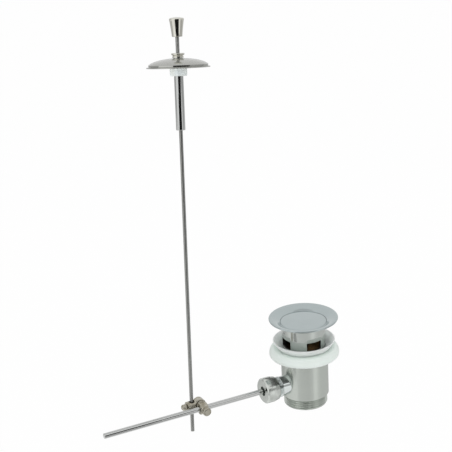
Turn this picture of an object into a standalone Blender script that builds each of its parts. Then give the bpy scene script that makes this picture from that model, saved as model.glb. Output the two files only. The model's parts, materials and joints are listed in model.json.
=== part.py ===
"""Pop-up basin waste with its lift rod, built as separate pieces.

The waste axis is Z and the side port, lever and ball nut lie along -X.
The origin is the centre of the flange's underside, where the waste sits in a basin's outlet.
Lengths are in metres, written in millimetres times MM.
"""

import math

import bmesh
import bpy
from mathutils import Matrix, Vector

MM = 0.001
CLEAR = 0.3 * MM  # gap between pieces that seat on or run in each other

# Widths of the waste; each follows from the thread through the piece that it fits
THREAD_D = 41.9 * MM  # outside of a G 1 1/4 thread
THREAD_WALL = 2.45 * MM
THREAD_STEP = 1.55 * MM
SOCKET_WALL = 2.0 * MM
CUP_WALL = 2.5 * MM
CAP_OVERLAP = 4.2 * MM
FLANGE_WIDTH = 12.5 * MM
SEAL_WIDTH = 9.15 * MM
WASHER_WIDTH = 13.0 * MM
TAIL_D = THREAD_D + 2 * THREAD_STEP
TAIL_BORE = THREAD_D - 2 * THREAD_WALL
CUP_TUBE_D = TAIL_D - 2 * SOCKET_WALL
CUP_BORE_R = CUP_TUBE_D / 2 - CUP_WALL
CAP_D = 2 * (CUP_BORE_R + CAP_OVERLAP)
FLANGE_D = CUP_TUBE_D + 2 * FLANGE_WIDTH
SEAL_D = CUP_TUBE_D + 2 * SEAL_WIDTH
WASHER_D = CUP_TUBE_D + 2 * WASHER_WIDTH

# Flange, slotted tube and plug
FLANGE_LIP = 1.7 * MM
FLANGE_SEAT = 4.2 * MM  # width of the flat ring that lies on the basin
DISH_DEPTH = 2.6 * MM
NECK_WALL = 1.6 * MM
NECK_TOP = 2.6 * MM  # drop from the basin face to the neck's straight side
SEAT_WALL = 1.2 * MM
NECK_SLOPE = 0.6
DISH_STEPS = 6
WINDOW_TOP = 8.8 * MM
WINDOW_HEIGHT = 16.7 * MM
WINDOW_ANGLE = math.radians(40)
WINDOW_COUNT = 4
CAP_THICKNESS = 2.2 * MM
CAP_CROWN = 0.5 * MM
CAP_CROWN_STEPS = 3
CAP_EDGE_R = 0.7 * MM
SEAT_CHAMFER = 1.6 * MM
RING_SECTION = 2.6 * MM  # rubber ring under the cap
HUB_HEIGHT = 5.5 * MM
HUB_LIP = 1.3 * MM
STEM_CORE_D = 9.0 * MM
STEM_SPIGOT_D = 6.0 * MM
STEM_SPIGOT = 4.2 * MM
STEM_LENGTH = 31.0 * MM
WING_THICKNESS = 2.0 * MM
WING_START = 4.0 * MM
WING_HEIGHT = 20.0 * MM
SCREW_D = 6.0 * MM
SCREW_ENGAGED = 11.0 * MM
SCREW_NOSE = 1.8 * MM
LOCK_NUT_FLATS = 10.0 * MM
LOCK_NUT_HEIGHT = 5.0 * MM

# Seals and tailpiece
SEAL_TOP = 20.9 * MM
SEAL_HEIGHT = 7.1 * MM
SEAL_RIM = 1.4 * MM
SEAL_TAPER = 4.15 * MM  # how much narrower the foot is than the rim, on each side
SEAL_HEEL = 1.6 * MM
SEAL_ROOT_IN = 1.9 * MM
SEAL_ROOT_RISE = 0.4 * MM
WASHER_HEIGHT = 9.2 * MM
WASHER_EDGE = 2.6 * MM
WASHER_SHOULDER = 4.5 * MM
TAIL_LENGTH = 49.6 * MM
TAIL_SOCKET = 14.5 * MM  # depth that the slotted tube screws into
THREAD_LENGTH = 10.5 * MM
THREAD_CHAMFER = 0.9 * MM
EDGE_BREAK = 0.5 * MM

# Side port, ball joint and lever; distances run out from the waste axis
PORT_DROP = 26.7 * MM
PORT_D = 19.8 * MM
PORT_BORE = 12.4 * MM
PORT_LENGTH = 18.0 * MM  # beyond the tailpiece's wall
PORT_END = TAIL_D / 2 + PORT_LENGTH
SEAT_D = 14.0 * MM
SEAT_DEPTH = 3.5 * MM
SEAT_SPLIT = 1.0 * MM  # from the ball's middle to each seat ring
SEAT_INNER_BORE = 7.6 * MM
SEAT_FLANGE = 3.0 * MM
SEAT_FLANGE_D = 19.6 * MM
BALL_D = 10.0 * MM
BALL_INSET = 4.5 * MM
BALL_OUT = PORT_END - BALL_INSET
BALL_NUT_D = 24.6 * MM
BALL_NUT_BACK_D = 22.4 * MM
BALL_NUT_LENGTH = 13.6 * MM
BALL_NUT_TAPER = 5.0 * MM  # length of the narrowing back
BALL_NUT_FACE = 2.4 * MM
BALL_NUT_HOLE = 9.2 * MM
BALL_NUT_CHAMFER = 1.2 * MM
SPANNER_PITCH_D = 18.8 * MM
SPANNER_HOLE_D = 1.7 * MM
SPANNER_HOLE_DEPTH = 0.8 * MM
SPANNER_HOLE_COUNT = 4
LEVER_D = 5.1 * MM
LEVER_OUT = 211.0 * MM
LEVER_PAST = 2.0 * MM
LEVER_CHAMFER = 0.7 * MM
TIP_GAP = 0.4 * MM

# Swivel clamp between lever and lift rod
CLAMP_OUT = 110.3 * MM
CLAMP_RAISE = 1.6 * MM  # swivel centre above the lever's axis
CLAMP_EYE_D = 10.6 * MM
CLAMP_EYE_LENGTH = 7.6 * MM
CLAMP_BOSS_D = 7.4 * MM
CLAMP_BOSS = 6.0 * MM
SWIVEL_FACE = 4.2 * MM
SWIVEL_BOSS_D = 9.2 * MM
RIVET_D = 3.0 * MM
RIVET_HEAD_D = 5.2 * MM
RIVET_HEAD = 1.2 * MM
ROD_EYE_D = 11.0 * MM
ROD_EYE_WIDTH = 7.0 * MM
ARM_D = 9.0 * MM
ARM_BACK = 8.0 * MM
ARM_LENGTH = 13.0 * MM
ROD_HOLE_OUT = 7.75 * MM
ROD_HOLE_D = 5.8 * MM
LEVER_SCREW_D = 3.8 * MM
LEVER_SCREW_HEAD_D = 8.2 * MM
LEVER_SCREW_HEAD = 4.0 * MM
ROD_SCREW_D = 3.4 * MM
ROD_SCREW_HEAD_D = 5.8 * MM
ROD_SCREW_HEAD = 4.6 * MM
THUMB_CROWN = 0.35  # share of a thumb screw's head that is rounded

# Lift rod and what it carries; heights run up the rod from the clamp's hole
ROD_D = 3.4 * MM
ROD_BELOW = 24.8 * MM
ROD_CHAMFER = 0.5 * MM
ROD_LEAN_IN = math.radians(6.8)
ROD_LEAN_BACK = math.radians(11.8)
TUBE_D = 8.5 * MM
TUBE_WALL = 1.0 * MM
TUBE_SPIGOT_D = TUBE_D - 0.7 * MM  # upper end, inside the collar
NUT_START = 307.8 * MM
TUBE_BELOW_NUT = 49.5 * MM
TUBE_START = NUT_START - TUBE_BELOW_NUT
NUT_FLATS = 15.1 * MM
NUT_HEIGHT = 7.4 * MM
NUT_CORNER_ANGLE = math.radians(30)
COVER_D = 58.5 * MM
COVER_DOME_D = 54.6 * MM
COVER_SHEET = 0.8 * MM
COVER_STEP = 2.0 * MM
COVER_RISE = 5.9 * MM
COVER_FULLNESS = 0.968  # dome's width over that of the ellipse that it is part of
SPACER_D = 18.0 * MM
COLLAR_D = 12.1 * MM
COLLAR_BASE_D = 10.5 * MM
COLLAR_NECK_D = 9.6 * MM
COLLAR_FLANGE = 2.1 * MM
COLLAR_BASE = 1.7 * MM
COLLAR_NECK = 0.4 * MM
COLLAR_TOP_WALL = 1.2 * MM
TUBE_CHAMFER = 0.6 * MM
BUSH_WALL = 0.95 * MM
BUSH_LENGTH = 8.0 * MM
KNOB_GAP = 14.8 * MM  # clear rod between collar and knob with the plug closed
KNOB_TOP_D = 13.6 * MM
KNOB_BASE_D = 9.6 * MM
KNOB_HEIGHT = 17.7 * MM
KNOB_CROWN = 2.0 * MM
KNOB_ROUND = 2.7 * MM
KNOB_ROUND_START = 80  # degrees above the horizontal
KNOB_ROUND_END = -25
KNOB_STEPS = 4
KNOB_FLARE = 1.4
KNOB_UNDERCUT = 0.2 * MM
KNOB_SOCKET = 11.6 * MM

CUT_PAST = 1.0 * MM  # how far a cutter runs past the face that it opens

RING_STEPS = 40
BODY_STEPS = 36
SMALL_STEPS = 20
ROD_STEPS = 14

# Places that follow from the sizes
CAP_Z = FLANGE_LIP - DISH_DEPTH
CAP_UNDER = CAP_Z - CAP_THICKNESS
SEAT_FLOOR = CAP_UNDER - CLEAR
HUB_BOTTOM = CAP_UNDER - HUB_HEIGHT
STEM_TOP = HUB_BOTTOM - CLEAR
STEM_BOTTOM = STEM_TOP - STEM_LENGTH
SEAL_BOTTOM = -SEAL_TOP - SEAL_HEIGHT
WASHER_TOP = SEAL_BOTTOM - CLEAR
WASHER_BOTTOM = WASHER_TOP - WASHER_HEIGHT
TAIL_TOP = WASHER_BOTTOM - CLEAR
TAIL_BOTTOM = TAIL_TOP - TAIL_LENGTH
SHOULDER_Z = TAIL_TOP - TAIL_SOCKET
CUP_END = SHOULDER_Z + CLEAR
LEVER_Z = TAIL_TOP - PORT_DROP
NUT_FACE_OUT = PORT_END + CLEAR + SEAT_FLANGE + CLEAR + BALL_NUT_FACE
BALL_SOCKET_R = BALL_D / 2 + CLEAR
SEAT_BORE_R = BALL_NUT_HOLE / 2
SCREW_TIP = LEVER_Z + LEVER_D / 2 + TIP_GAP
NUT_END = NUT_START + NUT_HEIGHT
LIP_UNDER = NUT_END
DOME_FOOT = LIP_UNDER + COVER_SHEET + COVER_STEP
DOME_TOP = DOME_FOOT + COVER_RISE
COLLAR_START = DOME_TOP + CLEAR
COLLAR_END = COLLAR_START + COLLAR_BASE + COLLAR_NECK + COLLAR_FLANGE
TUBE_END = COLLAR_END - COLLAR_TOP_WALL - CLEAR
KNOB_START = COLLAR_END + KNOB_GAP
ROD_END = KNOB_START + KNOB_SOCKET - CLEAR

FINISHES = {
    "chrome": ((0.66, 0.70, 0.72), 0.12, 1.0),
    "satin_nickel": ((0.62, 0.63, 0.60), 0.28, 1.0),
    "warm_nickel": ((0.60, 0.58, 0.50), 0.30, 1.0),
    "zinc": ((0.78, 0.84, 0.86), 0.30, 1.0),
    "steel": ((0.50, 0.51, 0.49), 0.25, 1.0),
    "white_rubber": ((0.78, 0.83, 0.80), 0.55, 0.0),
    "black_rubber": ((0.03, 0.03, 0.03), 0.60, 0.0),
    "white_nylon": ((0.85, 0.85, 0.82), 0.45, 0.0),
    "brass": ((0.72, 0.55, 0.27), 0.30, 1.0),
}


def clear_scene():
    for obj in list(bpy.data.objects):
        bpy.data.objects.remove(obj, do_unlink=True)


def new_collection(name):
    group = bpy.data.collections.new(name)
    bpy.context.scene.collection.children.link(group)
    return group


clear_scene()
PARTS = new_collection("pop_up_basin_waste")
CUTTERS = new_collection("cutters")


def finish_material(node, finish):
    colour, roughness, metallic = FINISHES[finish]
    material = bpy.data.materials.new(node + "_" + finish)
    material.use_nodes = True
    shader = material.node_tree.nodes["Principled BSDF"]
    shader.inputs["Base Color"].default_value = (*colour, 1.0)
    shader.inputs["Roughness"].default_value = roughness
    shader.inputs["Metallic"].default_value = metallic
    return material


def add_part(name, mesh, frame, finish):
    obj = bpy.data.objects.new(name, mesh)
    PARTS.objects.link(obj)
    obj.parent = frame
    mesh.materials.append(finish_material(name, finish))
    return obj


def add_cutter(name, mesh, frame):
    obj = bpy.data.objects.new(name, mesh)
    CUTTERS.objects.link(obj)
    obj.parent = frame
    obj.hide_render = True
    obj.display_type = "WIRE"
    return obj


def new_frame(name, matrix):
    """An empty that carries the pieces along one axis."""
    frame = bpy.data.objects.new(name, None)
    PARTS.objects.link(frame)
    frame.matrix_world = matrix
    return frame


def arc(centre, radii, start, end, steps):
    """Points of an ellipse's arc, from start to end in degrees, both ends included."""
    turn = [math.radians(start + (end - start) * i / steps) for i in range(steps + 1)]
    return [(centre[0] + radii[0] * math.cos(a), centre[1] + radii[1] * math.sin(a)) for a in turn]


def outline_mesh(name, outline):
    """A turning profile in the XZ plane; it closes on itself unless it ends on the axis."""
    count = len(outline)
    edges = [(i, i + 1) for i in range(count - 1)]
    if outline[0][0] > 0:
        edges.append((count - 1, 0))
    mesh = bpy.data.meshes.new(name)
    mesh.from_pydata([(r, 0.0, z) for r, z in outline], edges, [])
    return mesh


def add_turn(obj, steps):
    turn = obj.modifiers.new("Turn", "SCREW")
    turn.steps = steps
    turn.render_steps = steps
    turn.use_merge_vertices = True
    turn.merge_threshold = 0.00001
    turn.use_smooth_shade = True


def turned(name, outline, frame, finish, steps=SMALL_STEPS):
    """A piece turned about its frame's Z; the outline runs down the outer side."""
    obj = add_part(name, outline_mesh(name, outline), frame, finish)
    add_turn(obj, steps)
    return obj


def turned_cutter(name, outline, frame, steps=SMALL_STEPS):
    obj = add_cutter(name, outline_mesh(name, outline), frame)
    add_turn(obj, steps)
    return obj


def rod_outline(radius, low, high):
    return [(0.0, high), (radius, high), (radius, low), (0.0, low)]


def hole(target, name, radius, low, high, frame, steps=SMALL_STEPS):
    combine(target, turned_cutter(name, rod_outline(radius, low, high), frame, steps), "DIFFERENCE")


def combine(target, tool, operation):
    boolean = target.modifiers.new(tool.name, "BOOLEAN")
    boolean.operation = operation
    boolean.object = tool
    boolean.solver = "EXACT"


def box_mesh(name, low, high):
    size = Vector(high) - Vector(low)
    middle = (Vector(high) + Vector(low)) / 2
    grid = bmesh.new()
    bmesh.ops.create_cube(grid, size=1.0, matrix=Matrix.Translation(middle) @ Matrix.Diagonal((*size, 1.0)))
    mesh = bpy.data.meshes.new(name)
    grid.to_mesh(mesh)
    grid.free()
    return mesh


def hexagon_mesh(name, flats, low, high):
    grid = bmesh.new()
    bmesh.ops.create_cone(
        grid, cap_ends=True, segments=6, radius1=flats / math.sqrt(3), radius2=flats / math.sqrt(3),
        depth=high - low, matrix=Matrix.Translation((0, 0, (low + high) / 2)))
    mesh = bpy.data.meshes.new(name)
    grid.to_mesh(mesh)
    grid.free()
    return mesh


def hex_nut(name, flats, low, high, bore_r, frame, finish):
    """A hexagon nut with its corners turned off at both faces."""
    nut = add_part(name, hexagon_mesh(name, flats, low, high), frame, finish)
    corner = flats / math.sqrt(3)
    face = flats / 2 - CLEAR
    past = corner + CLEAR
    drop = (past - face) * math.tan(NUT_CORNER_ANGLE)
    blank = [(0.0, high + CLEAR), (face, high + CLEAR), (face, high), (past, high - drop)]
    blank += [(past, low + drop), (face, low), (face, low - CLEAR), (0.0, low - CLEAR)]
    combine(nut, turned_cutter(name + "_corners", blank, frame), "INTERSECT")
    hole(nut, name + "_bore", bore_r, low - CUT_PAST, high + CUT_PAST, frame)
    return nut


def make_frames():
    """Frames of the waste, of the port (Z outwards along -X), the clamp's axes and the lift rod."""
    level = Matrix.Translation((0, 0, LEVER_Z))
    outward = Matrix.Rotation(math.radians(-90), 4, "Y")
    backward = Matrix.Rotation(math.radians(-90), 4, "X")
    clamp = Matrix.Translation((-CLAMP_OUT, 0, LEVER_Z))
    swivel = Matrix.Translation((-CLAMP_OUT, 0, LEVER_Z + CLAMP_RAISE))
    grip = Vector((-CLAMP_OUT - ROD_HOLE_OUT, ARM_BACK, LEVER_Z + CLAMP_RAISE))
    lean = Vector((math.tan(ROD_LEAN_IN), math.tan(ROD_LEAN_BACK), 1.0))
    return {
        "waste": new_frame("waste_axis", Matrix.Identity(4)),
        "port": new_frame("port_axis", level @ outward),
        "clamp": new_frame("clamp_centre", clamp),
        "clamp_front": new_frame("lever_screw_axis", clamp @ Matrix.Rotation(math.radians(90), 4, "X")),
        "swivel": new_frame("swivel_axis", swivel @ backward),
        "arm": new_frame("arm_axis", swivel @ Matrix.Translation((0, ARM_BACK, 0)) @ outward),
        "grip": new_frame("rod_hole_axis", Matrix.Translation(grip)),
        "rod": new_frame("rod_axis", Matrix.Translation(grip) @ lean.to_track_quat("Z", "Y").to_matrix().to_4x4()),
    }


def build_valve_cup(frame):
    """Dished flange and slotted tube in one piece, with a recess that the plug's cap lies in."""
    rim = FLANGE_D / 2
    edge = FLANGE_LIP / 2
    recess = CAP_D / 2 + CLEAR
    neck = recess + NECK_WALL
    neck_bottom = SEAT_FLOOR - SEAT_WALL
    tube = CUP_TUBE_D / 2
    outline = arc((rim - edge, edge), (edge, edge), 90, -90, 6)
    outline += [(rim - edge - FLANGE_SEAT, 0.0), (neck, -NECK_TOP), (neck, neck_bottom)]
    outline += [(tube, neck_bottom - (neck - tube) * NECK_SLOPE), (tube, CUP_END), (CUP_BORE_R, CUP_END)]
    outline += [(CUP_BORE_R, SEAT_FLOOR - SEAT_CHAMFER), (CUP_BORE_R + SEAT_CHAMFER, SEAT_FLOOR)]
    outline += [(recess, SEAT_FLOOR), (recess, CAP_Z)]
    dish_width = rim - edge - recess
    for i in range(1, DISH_STEPS):
        share = i / DISH_STEPS
        outline.append((recess + dish_width * share, CAP_Z + DISH_DEPTH * (1 - (1 - share) ** 2)))
    cup = turned("valve_cup", outline, frame, "chrome", RING_STEPS)
    half_width = (tube + CLEAR) * math.tan(WINDOW_ANGLE / 2)
    for i in range(WINDOW_COUNT // 2):
        mesh = box_mesh("window", (-half_width, -tube - NECK_WALL, -WINDOW_TOP - WINDOW_HEIGHT),
                        (half_width, tube + NECK_WALL, -WINDOW_TOP))
        window = add_cutter("overflow_window_" + str(i + 1), mesh, frame)
        window.rotation_euler.z = 2 * math.pi * i / WINDOW_COUNT
        combine(cup, window, "DIFFERENCE")


def build_plug(frame):
    """Crowned cap with a rubber ring, a winged stem, and the screw that sets the plug's height."""
    radius = CAP_D / 2
    ring = RING_SECTION / 2
    ring_r = CUP_BORE_R - CLEAR - ring
    hub = ring_r - ring - CLEAR
    spigot = STEM_SPIGOT_D / 2
    edge = CAP_EDGE_R
    outline = [(0.0, CAP_Z + CAP_CROWN)]
    for i in range(1, CAP_CROWN_STEPS):
        share = i / CAP_CROWN_STEPS
        outline.append(((radius - edge) * share, CAP_Z + CAP_CROWN * (1 - share ** 2)))
    outline += arc((radius - edge, CAP_Z - edge), (edge, edge), 90, 0, 3)
    outline += [(radius, CAP_UNDER), (hub, CAP_UNDER), (hub, HUB_BOTTOM + HUB_LIP)]
    outline += [(ring_r, HUB_BOTTOM + HUB_LIP), (ring_r, HUB_BOTTOM), (spigot + CLEAR, HUB_BOTTOM)]
    outline += [(spigot + CLEAR, HUB_BOTTOM + STEM_SPIGOT), (0.0, HUB_BOTTOM + STEM_SPIGOT)]
    turned("plug_cap", outline, frame, "chrome", RING_STEPS)

    ring_z = HUB_BOTTOM + HUB_LIP + CLEAR + ring
    section = arc((ring_r, ring_z), (ring, ring), 90, -270, 8)[:-1]
    turned("plug_seal_ring", section, frame, "black_rubber", 32)

    core = STEM_CORE_D / 2
    spigot_top = HUB_BOTTOM + STEM_SPIGOT - CLEAR
    outline = [(0.0, spigot_top), (spigot, spigot_top), (spigot, STEM_TOP), (core, STEM_TOP)]
    outline += [(core, STEM_BOTTOM), (0.0, STEM_BOTTOM)]
    stem = turned("plug_stem", outline, frame, "brass", 24)
    reach = CUP_BORE_R - 2 * CLEAR
    low = STEM_TOP - WING_START - WING_HEIGHT
    for i in range(2):
        mesh = box_mesh("wing", (-reach, -WING_THICKNESS / 2, low), (reach, WING_THICKNESS / 2, low + WING_HEIGHT))
        wing = add_cutter("stem_wings_" + str(i + 1), mesh, frame)
        wing.rotation_euler.z = math.radians(45 + 90 * i)
        combine(stem, wing, "UNION")
    screw = SCREW_D / 2
    hole(stem, "stem_thread", screw + CLEAR, STEM_BOTTOM - CLEAR, STEM_BOTTOM + SCREW_ENGAGED + CLEAR, frame, 20)

    outline = [(0.0, STEM_BOTTOM + SCREW_ENGAGED), (screw, STEM_BOTTOM + SCREW_ENGAGED)]
    outline += arc((0.0, SCREW_TIP + SCREW_NOSE), (screw, SCREW_NOSE), 0, -90, 5)[:-1]
    outline.append((0.0, SCREW_TIP))
    turned("plug_height_screw", outline, frame, "brass", 20)
    nut_top = STEM_BOTTOM - CLEAR
    hex_nut("plug_lock_nut", LOCK_NUT_FLATS, nut_top - LOCK_NUT_HEIGHT, nut_top, screw + CLEAR, frame, "brass")


def build_seals(frame):
    """White rubber cup under the basin and the white cone washer that backs it."""
    inner = CUP_TUBE_D / 2 + CLEAR
    outer = SEAL_D / 2
    rim = SEAL_RIM / 2
    foot = outer - SEAL_TAPER
    outline = arc((outer - rim, -SEAL_TOP - rim), (rim, rim), 90, 0, 3)
    outline += [(foot, SEAL_BOTTOM), (inner, SEAL_BOTTOM), (inner, SEAL_BOTTOM + SEAL_HEEL)]
    outline += [(foot - SEAL_ROOT_IN, SEAL_BOTTOM + SEAL_HEEL + SEAL_ROOT_RISE)]
    outline += arc((outer - rim, -SEAL_TOP - rim), (rim, rim), 180, 90, 3)[:-1]
    turned("upper_seal", outline, frame, "white_rubber", BODY_STEPS)

    outer = WASHER_D / 2
    shoulder = WASHER_HEIGHT - WASHER_EDGE
    waist = WASHER_BOTTOM + WASHER_EDGE
    outline = arc((outer - WASHER_SHOULDER, waist), (WASHER_SHOULDER, shoulder), 90, 0, 5)
    outline += arc((outer - WASHER_EDGE, waist), (WASHER_EDGE, WASHER_EDGE), 0, -90, 3)[1:]
    outline += [(inner, WASHER_BOTTOM), (inner, WASHER_TOP)]
    turned("lower_washer", outline, frame, "white_nylon", BODY_STEPS)


def build_tailpiece(waste, port):
    """Turned body with a threaded foot and the side port that holds the ball joint."""
    outer = TAIL_D / 2
    thread = THREAD_D / 2
    foot = TAIL_BOTTOM + THREAD_LENGTH
    outline = [(0.0, TAIL_TOP), (outer - EDGE_BREAK, TAIL_TOP), (outer, TAIL_TOP - EDGE_BREAK), (outer, foot)]
    outline += [(thread, foot), (thread, TAIL_BOTTOM + THREAD_CHAMFER), (thread - THREAD_CHAMFER, TAIL_BOTTOM)]
    outline += [(0.0, TAIL_BOTTOM)]
    body = turned("tailpiece", outline, waste, "satin_nickel", RING_STEPS)
    boss = rod_outline(PORT_D / 2, TAIL_BORE / 4, PORT_END)
    combine(body, turned_cutter("port_boss", boss, port, 28), "UNION")
    socket = CUP_TUBE_D / 2 + CLEAR
    bore = TAIL_BORE / 2
    above = TAIL_TOP + CUT_PAST
    below = TAIL_BOTTOM - CUT_PAST
    passage = [(0.0, above), (socket, above), (socket, SHOULDER_Z), (bore, SHOULDER_Z), (bore, below), (0.0, below)]
    combine(body, turned_cutter("tailpiece_bore", passage, waste, RING_STEPS), "DIFFERENCE")
    seat = SEAT_D / 2 + CLEAR
    seat_floor = BALL_OUT - SEAT_SPLIT - SEAT_DEPTH - CLEAR
    mouth = PORT_END + CUT_PAST
    drilling = [(0.0, mouth), (seat, mouth), (seat, seat_floor), (PORT_BORE / 2, seat_floor)]
    drilling += [(PORT_BORE / 2, 0.0), (0.0, 0.0)]
    combine(body, turned_cutter("port_bore", drilling, port), "DIFFERENCE")


def ball_seats(port):
    """Two nylon rings that hold the lever's ball between the port and its nut."""
    radius = SEAT_D / 2
    inner_bore = SEAT_INNER_BORE / 2
    inner_face = BALL_OUT - SEAT_SPLIT
    opening = math.sqrt(BALL_SOCKET_R ** 2 - SEAT_SPLIT ** 2)
    start = math.degrees(math.asin(inner_bore / BALL_SOCKET_R))
    end = math.degrees(math.asin(opening / BALL_SOCKET_R))
    hollow = []
    for i in range(5):
        angle = math.radians(start + (end - start) * i / 4)
        hollow.append((BALL_SOCKET_R * math.sin(angle), BALL_OUT - BALL_SOCKET_R * math.cos(angle)))
    outline = [(radius, inner_face), (radius, inner_face - SEAT_DEPTH), (inner_bore, inner_face - SEAT_DEPTH)]
    turned("ball_seat_inner", outline + hollow, port, "white_nylon")

    outer_face = BALL_OUT + SEAT_SPLIT
    flange = SEAT_FLANGE_D / 2
    ledge = PORT_END + CLEAR
    start = math.degrees(math.asin(SEAT_BORE_R / BALL_SOCKET_R))
    hollow = []
    for i in range(5):
        angle = math.radians(end + (start - end) * i / 4)
        hollow.append((BALL_SOCKET_R * math.sin(angle), BALL_OUT + BALL_SOCKET_R * math.cos(angle)))
    outline = [(flange, ledge + SEAT_FLANGE), (flange, ledge), (radius, ledge), (radius, outer_face)]
    turned("ball_seat_outer", outline + hollow + [(SEAT_BORE_R, ledge + SEAT_FLANGE)], port, "white_nylon")


def build_ball_nut(port):
    """Round cap nut with pin-spanner holes in its face."""
    radius = BALL_NUT_D / 2
    back = NUT_FACE_OUT - BALL_NUT_LENGTH
    inside = NUT_FACE_OUT - BALL_NUT_FACE
    thread = PORT_D / 2 + CLEAR
    outline = [(radius - BALL_NUT_CHAMFER, NUT_FACE_OUT), (radius, NUT_FACE_OUT - BALL_NUT_CHAMFER)]
    outline += [(radius, back + BALL_NUT_TAPER), (BALL_NUT_BACK_D / 2, back), (thread, back), (thread, inside)]
    outline += [(BALL_NUT_HOLE / 2, inside), (BALL_NUT_HOLE / 2, NUT_FACE_OUT)]
    nut = turned("ball_nut", outline, port, "chrome", 36)
    pitch_r = SPANNER_PITCH_D / 2
    for i in range(SPANNER_HOLE_COUNT):
        angle = 2 * math.pi * (i + 0.5) / SPANNER_HOLE_COUNT
        outline = rod_outline(SPANNER_HOLE_D / 2, NUT_FACE_OUT - SPANNER_HOLE_DEPTH, NUT_FACE_OUT + CUT_PAST)
        pin = turned_cutter("spanner_hole_" + str(i + 1), outline, port, 8)
        pin.location = (pitch_r * math.cos(angle), pitch_r * math.sin(angle), 0.0)
        combine(nut, pin, "DIFFERENCE")


def build_lever(port):
    """Straight lever with the ball that it turns on."""
    radius = LEVER_D / 2
    nose = LEVER_CHAMFER
    outline = [(0.0, LEVER_OUT), (radius - nose, LEVER_OUT), (radius, LEVER_OUT - nose)]
    outline += [(radius, nose - LEVER_PAST), (radius - nose, -LEVER_PAST), (0.0, -LEVER_PAST)]
    turned("lever_rod", outline, port, "chrome", ROD_STEPS)
    bore = radius + CLEAR
    ball = BALL_D / 2
    tilt = math.degrees(math.acos(bore / ball))
    turned("lever_ball", arc((0.0, BALL_OUT), (ball, ball), tilt, -tilt, 10), port, "white_nylon")


def build_lever_clamp(frames):
    """Eye that slides on the lever, with a flat swivel face at the back and a screw boss in front."""
    clamp = frames["clamp"]
    half = CLAMP_EYE_LENGTH / 2
    out = CLAMP_OUT
    eye = rod_outline(CLAMP_EYE_D / 2, out - half, out + half)
    body = turned("lever_clamp", eye, frames["port"], "warm_nickel", SMALL_STEPS)
    boss = rod_outline(CLAMP_BOSS_D / 2, 0.0, CLAMP_BOSS)
    combine(body, turned_cutter("lever_screw_boss", boss, frames["clamp_front"], 28), "UNION")
    swivel_boss = rod_outline(SWIVEL_BOSS_D / 2, LEVER_D / 2, SWIVEL_FACE + half)
    combine(body, turned_cutter("swivel_boss", swivel_boss, frames["swivel"]), "UNION")
    mesh = box_mesh("flat", (-2 * half, SWIVEL_FACE, -CLAMP_EYE_D), (2 * half, SWIVEL_FACE + 2 * half, CLAMP_EYE_D))
    combine(body, add_cutter("swivel_flat", mesh, clamp), "DIFFERENCE")
    hole(body, "lever_hole", LEVER_D / 2 + CLEAR, out - 3 * half, out + 3 * half, frames["port"], 28)
    hole(body, "lever_screw_hole", LEVER_SCREW_D / 2 + CLEAR, 0.0, CLAMP_BOSS + half, frames["clamp_front"], 24)
    recess_floor = LEVER_D / 2 + 1.5 * CLEAR
    hole(body, "rivet_recess", RIVET_D / 2 + CLEAR, recess_floor, SWIVEL_FACE + half, frames["swivel"], 24)

    shank = RIVET_D / 2
    head = RIVET_HEAD_D / 2
    seat = SWIVEL_FACE + CLEAR + ROD_EYE_WIDTH + CLEAR
    outline = [(0.0, seat + RIVET_HEAD)] + arc((head * 0.5, seat), (head * 0.5, RIVET_HEAD), 90, 0, 4)
    outline += [(shank, seat), (shank, recess_floor + CLEAR), (0.0, recess_floor + CLEAR)]
    turned("swivel_rivet", outline, frames["swivel"], "warm_nickel", 24)

    tip = LEVER_D / 2 + CLEAR
    screw_seat = CLAMP_BOSS + CLEAR
    thumb_screw("lever_clamp_screw", LEVER_SCREW_D, LEVER_SCREW_HEAD_D, LEVER_SCREW_HEAD, tip, screw_seat,
                frames["clamp_front"])


def thumb_screw(name, shank_d, head_d, head_height, tip, seat, frame):
    shank = shank_d / 2
    head = head_d / 2
    crown = head_height * THUMB_CROWN
    outline = [(0.0, seat + head_height)]
    outline += arc((head - crown, seat + head_height - crown), (crown, crown), 90, 0, 4)
    outline += [(head, seat + EDGE_BREAK), (head - EDGE_BREAK, seat), (shank, seat), (shank, tip), (0.0, tip)]
    turned(name, outline, frame, "warm_nickel", 28)


def build_rod_clamp(frames):
    """Arm with an eye on the swivel rivet, a wide hole for the lift rod and a screw in its end."""
    near = SWIVEL_FACE + CLEAR
    eye = rod_outline(ROD_EYE_D / 2, near, near + ROD_EYE_WIDTH)
    body = turned("rod_clamp", eye, frames["swivel"], "warm_nickel")
    arm_start = RIVET_HEAD_D / 2 + 2 * CLEAR
    arm = rod_outline(ARM_D / 2, arm_start, ARM_LENGTH)
    combine(body, turned_cutter("clamp_arm", arm, frames["arm"]), "UNION")
    flat_end = CLAMP_EYE_LENGTH / 2 + 4 * CLEAR
    mesh = box_mesh("relief", (-flat_end, -ARM_D, -ARM_D), (ROD_EYE_D, near, ARM_D))
    combine(body, add_cutter("swivel_relief", mesh, frames["clamp"]), "DIFFERENCE")
    hole(body, "rivet_hole", RIVET_D / 2 + CLEAR, 0.0, near + 2 * ROD_EYE_WIDTH, frames["swivel"], 24)
    hole(body, "rod_hole", ROD_HOLE_D / 2, -ARM_D, ARM_D, frames["grip"])
    hole(body, "rod_screw_hole", ROD_SCREW_D / 2 + CLEAR, ROD_HOLE_OUT, ARM_LENGTH + ARM_D, frames["arm"], 20)
    lean_factor = math.sqrt(1 + math.tan(ROD_LEAN_IN) ** 2 + math.tan(ROD_LEAN_BACK) ** 2)
    tip = ROD_HOLE_OUT + ROD_D / 2 * lean_factor + CLEAR
    thumb_screw("rod_clamp_screw", ROD_SCREW_D, ROD_SCREW_HEAD_D, ROD_SCREW_HEAD, tip, ARM_LENGTH + CLEAR,
                frames["arm"])


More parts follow.
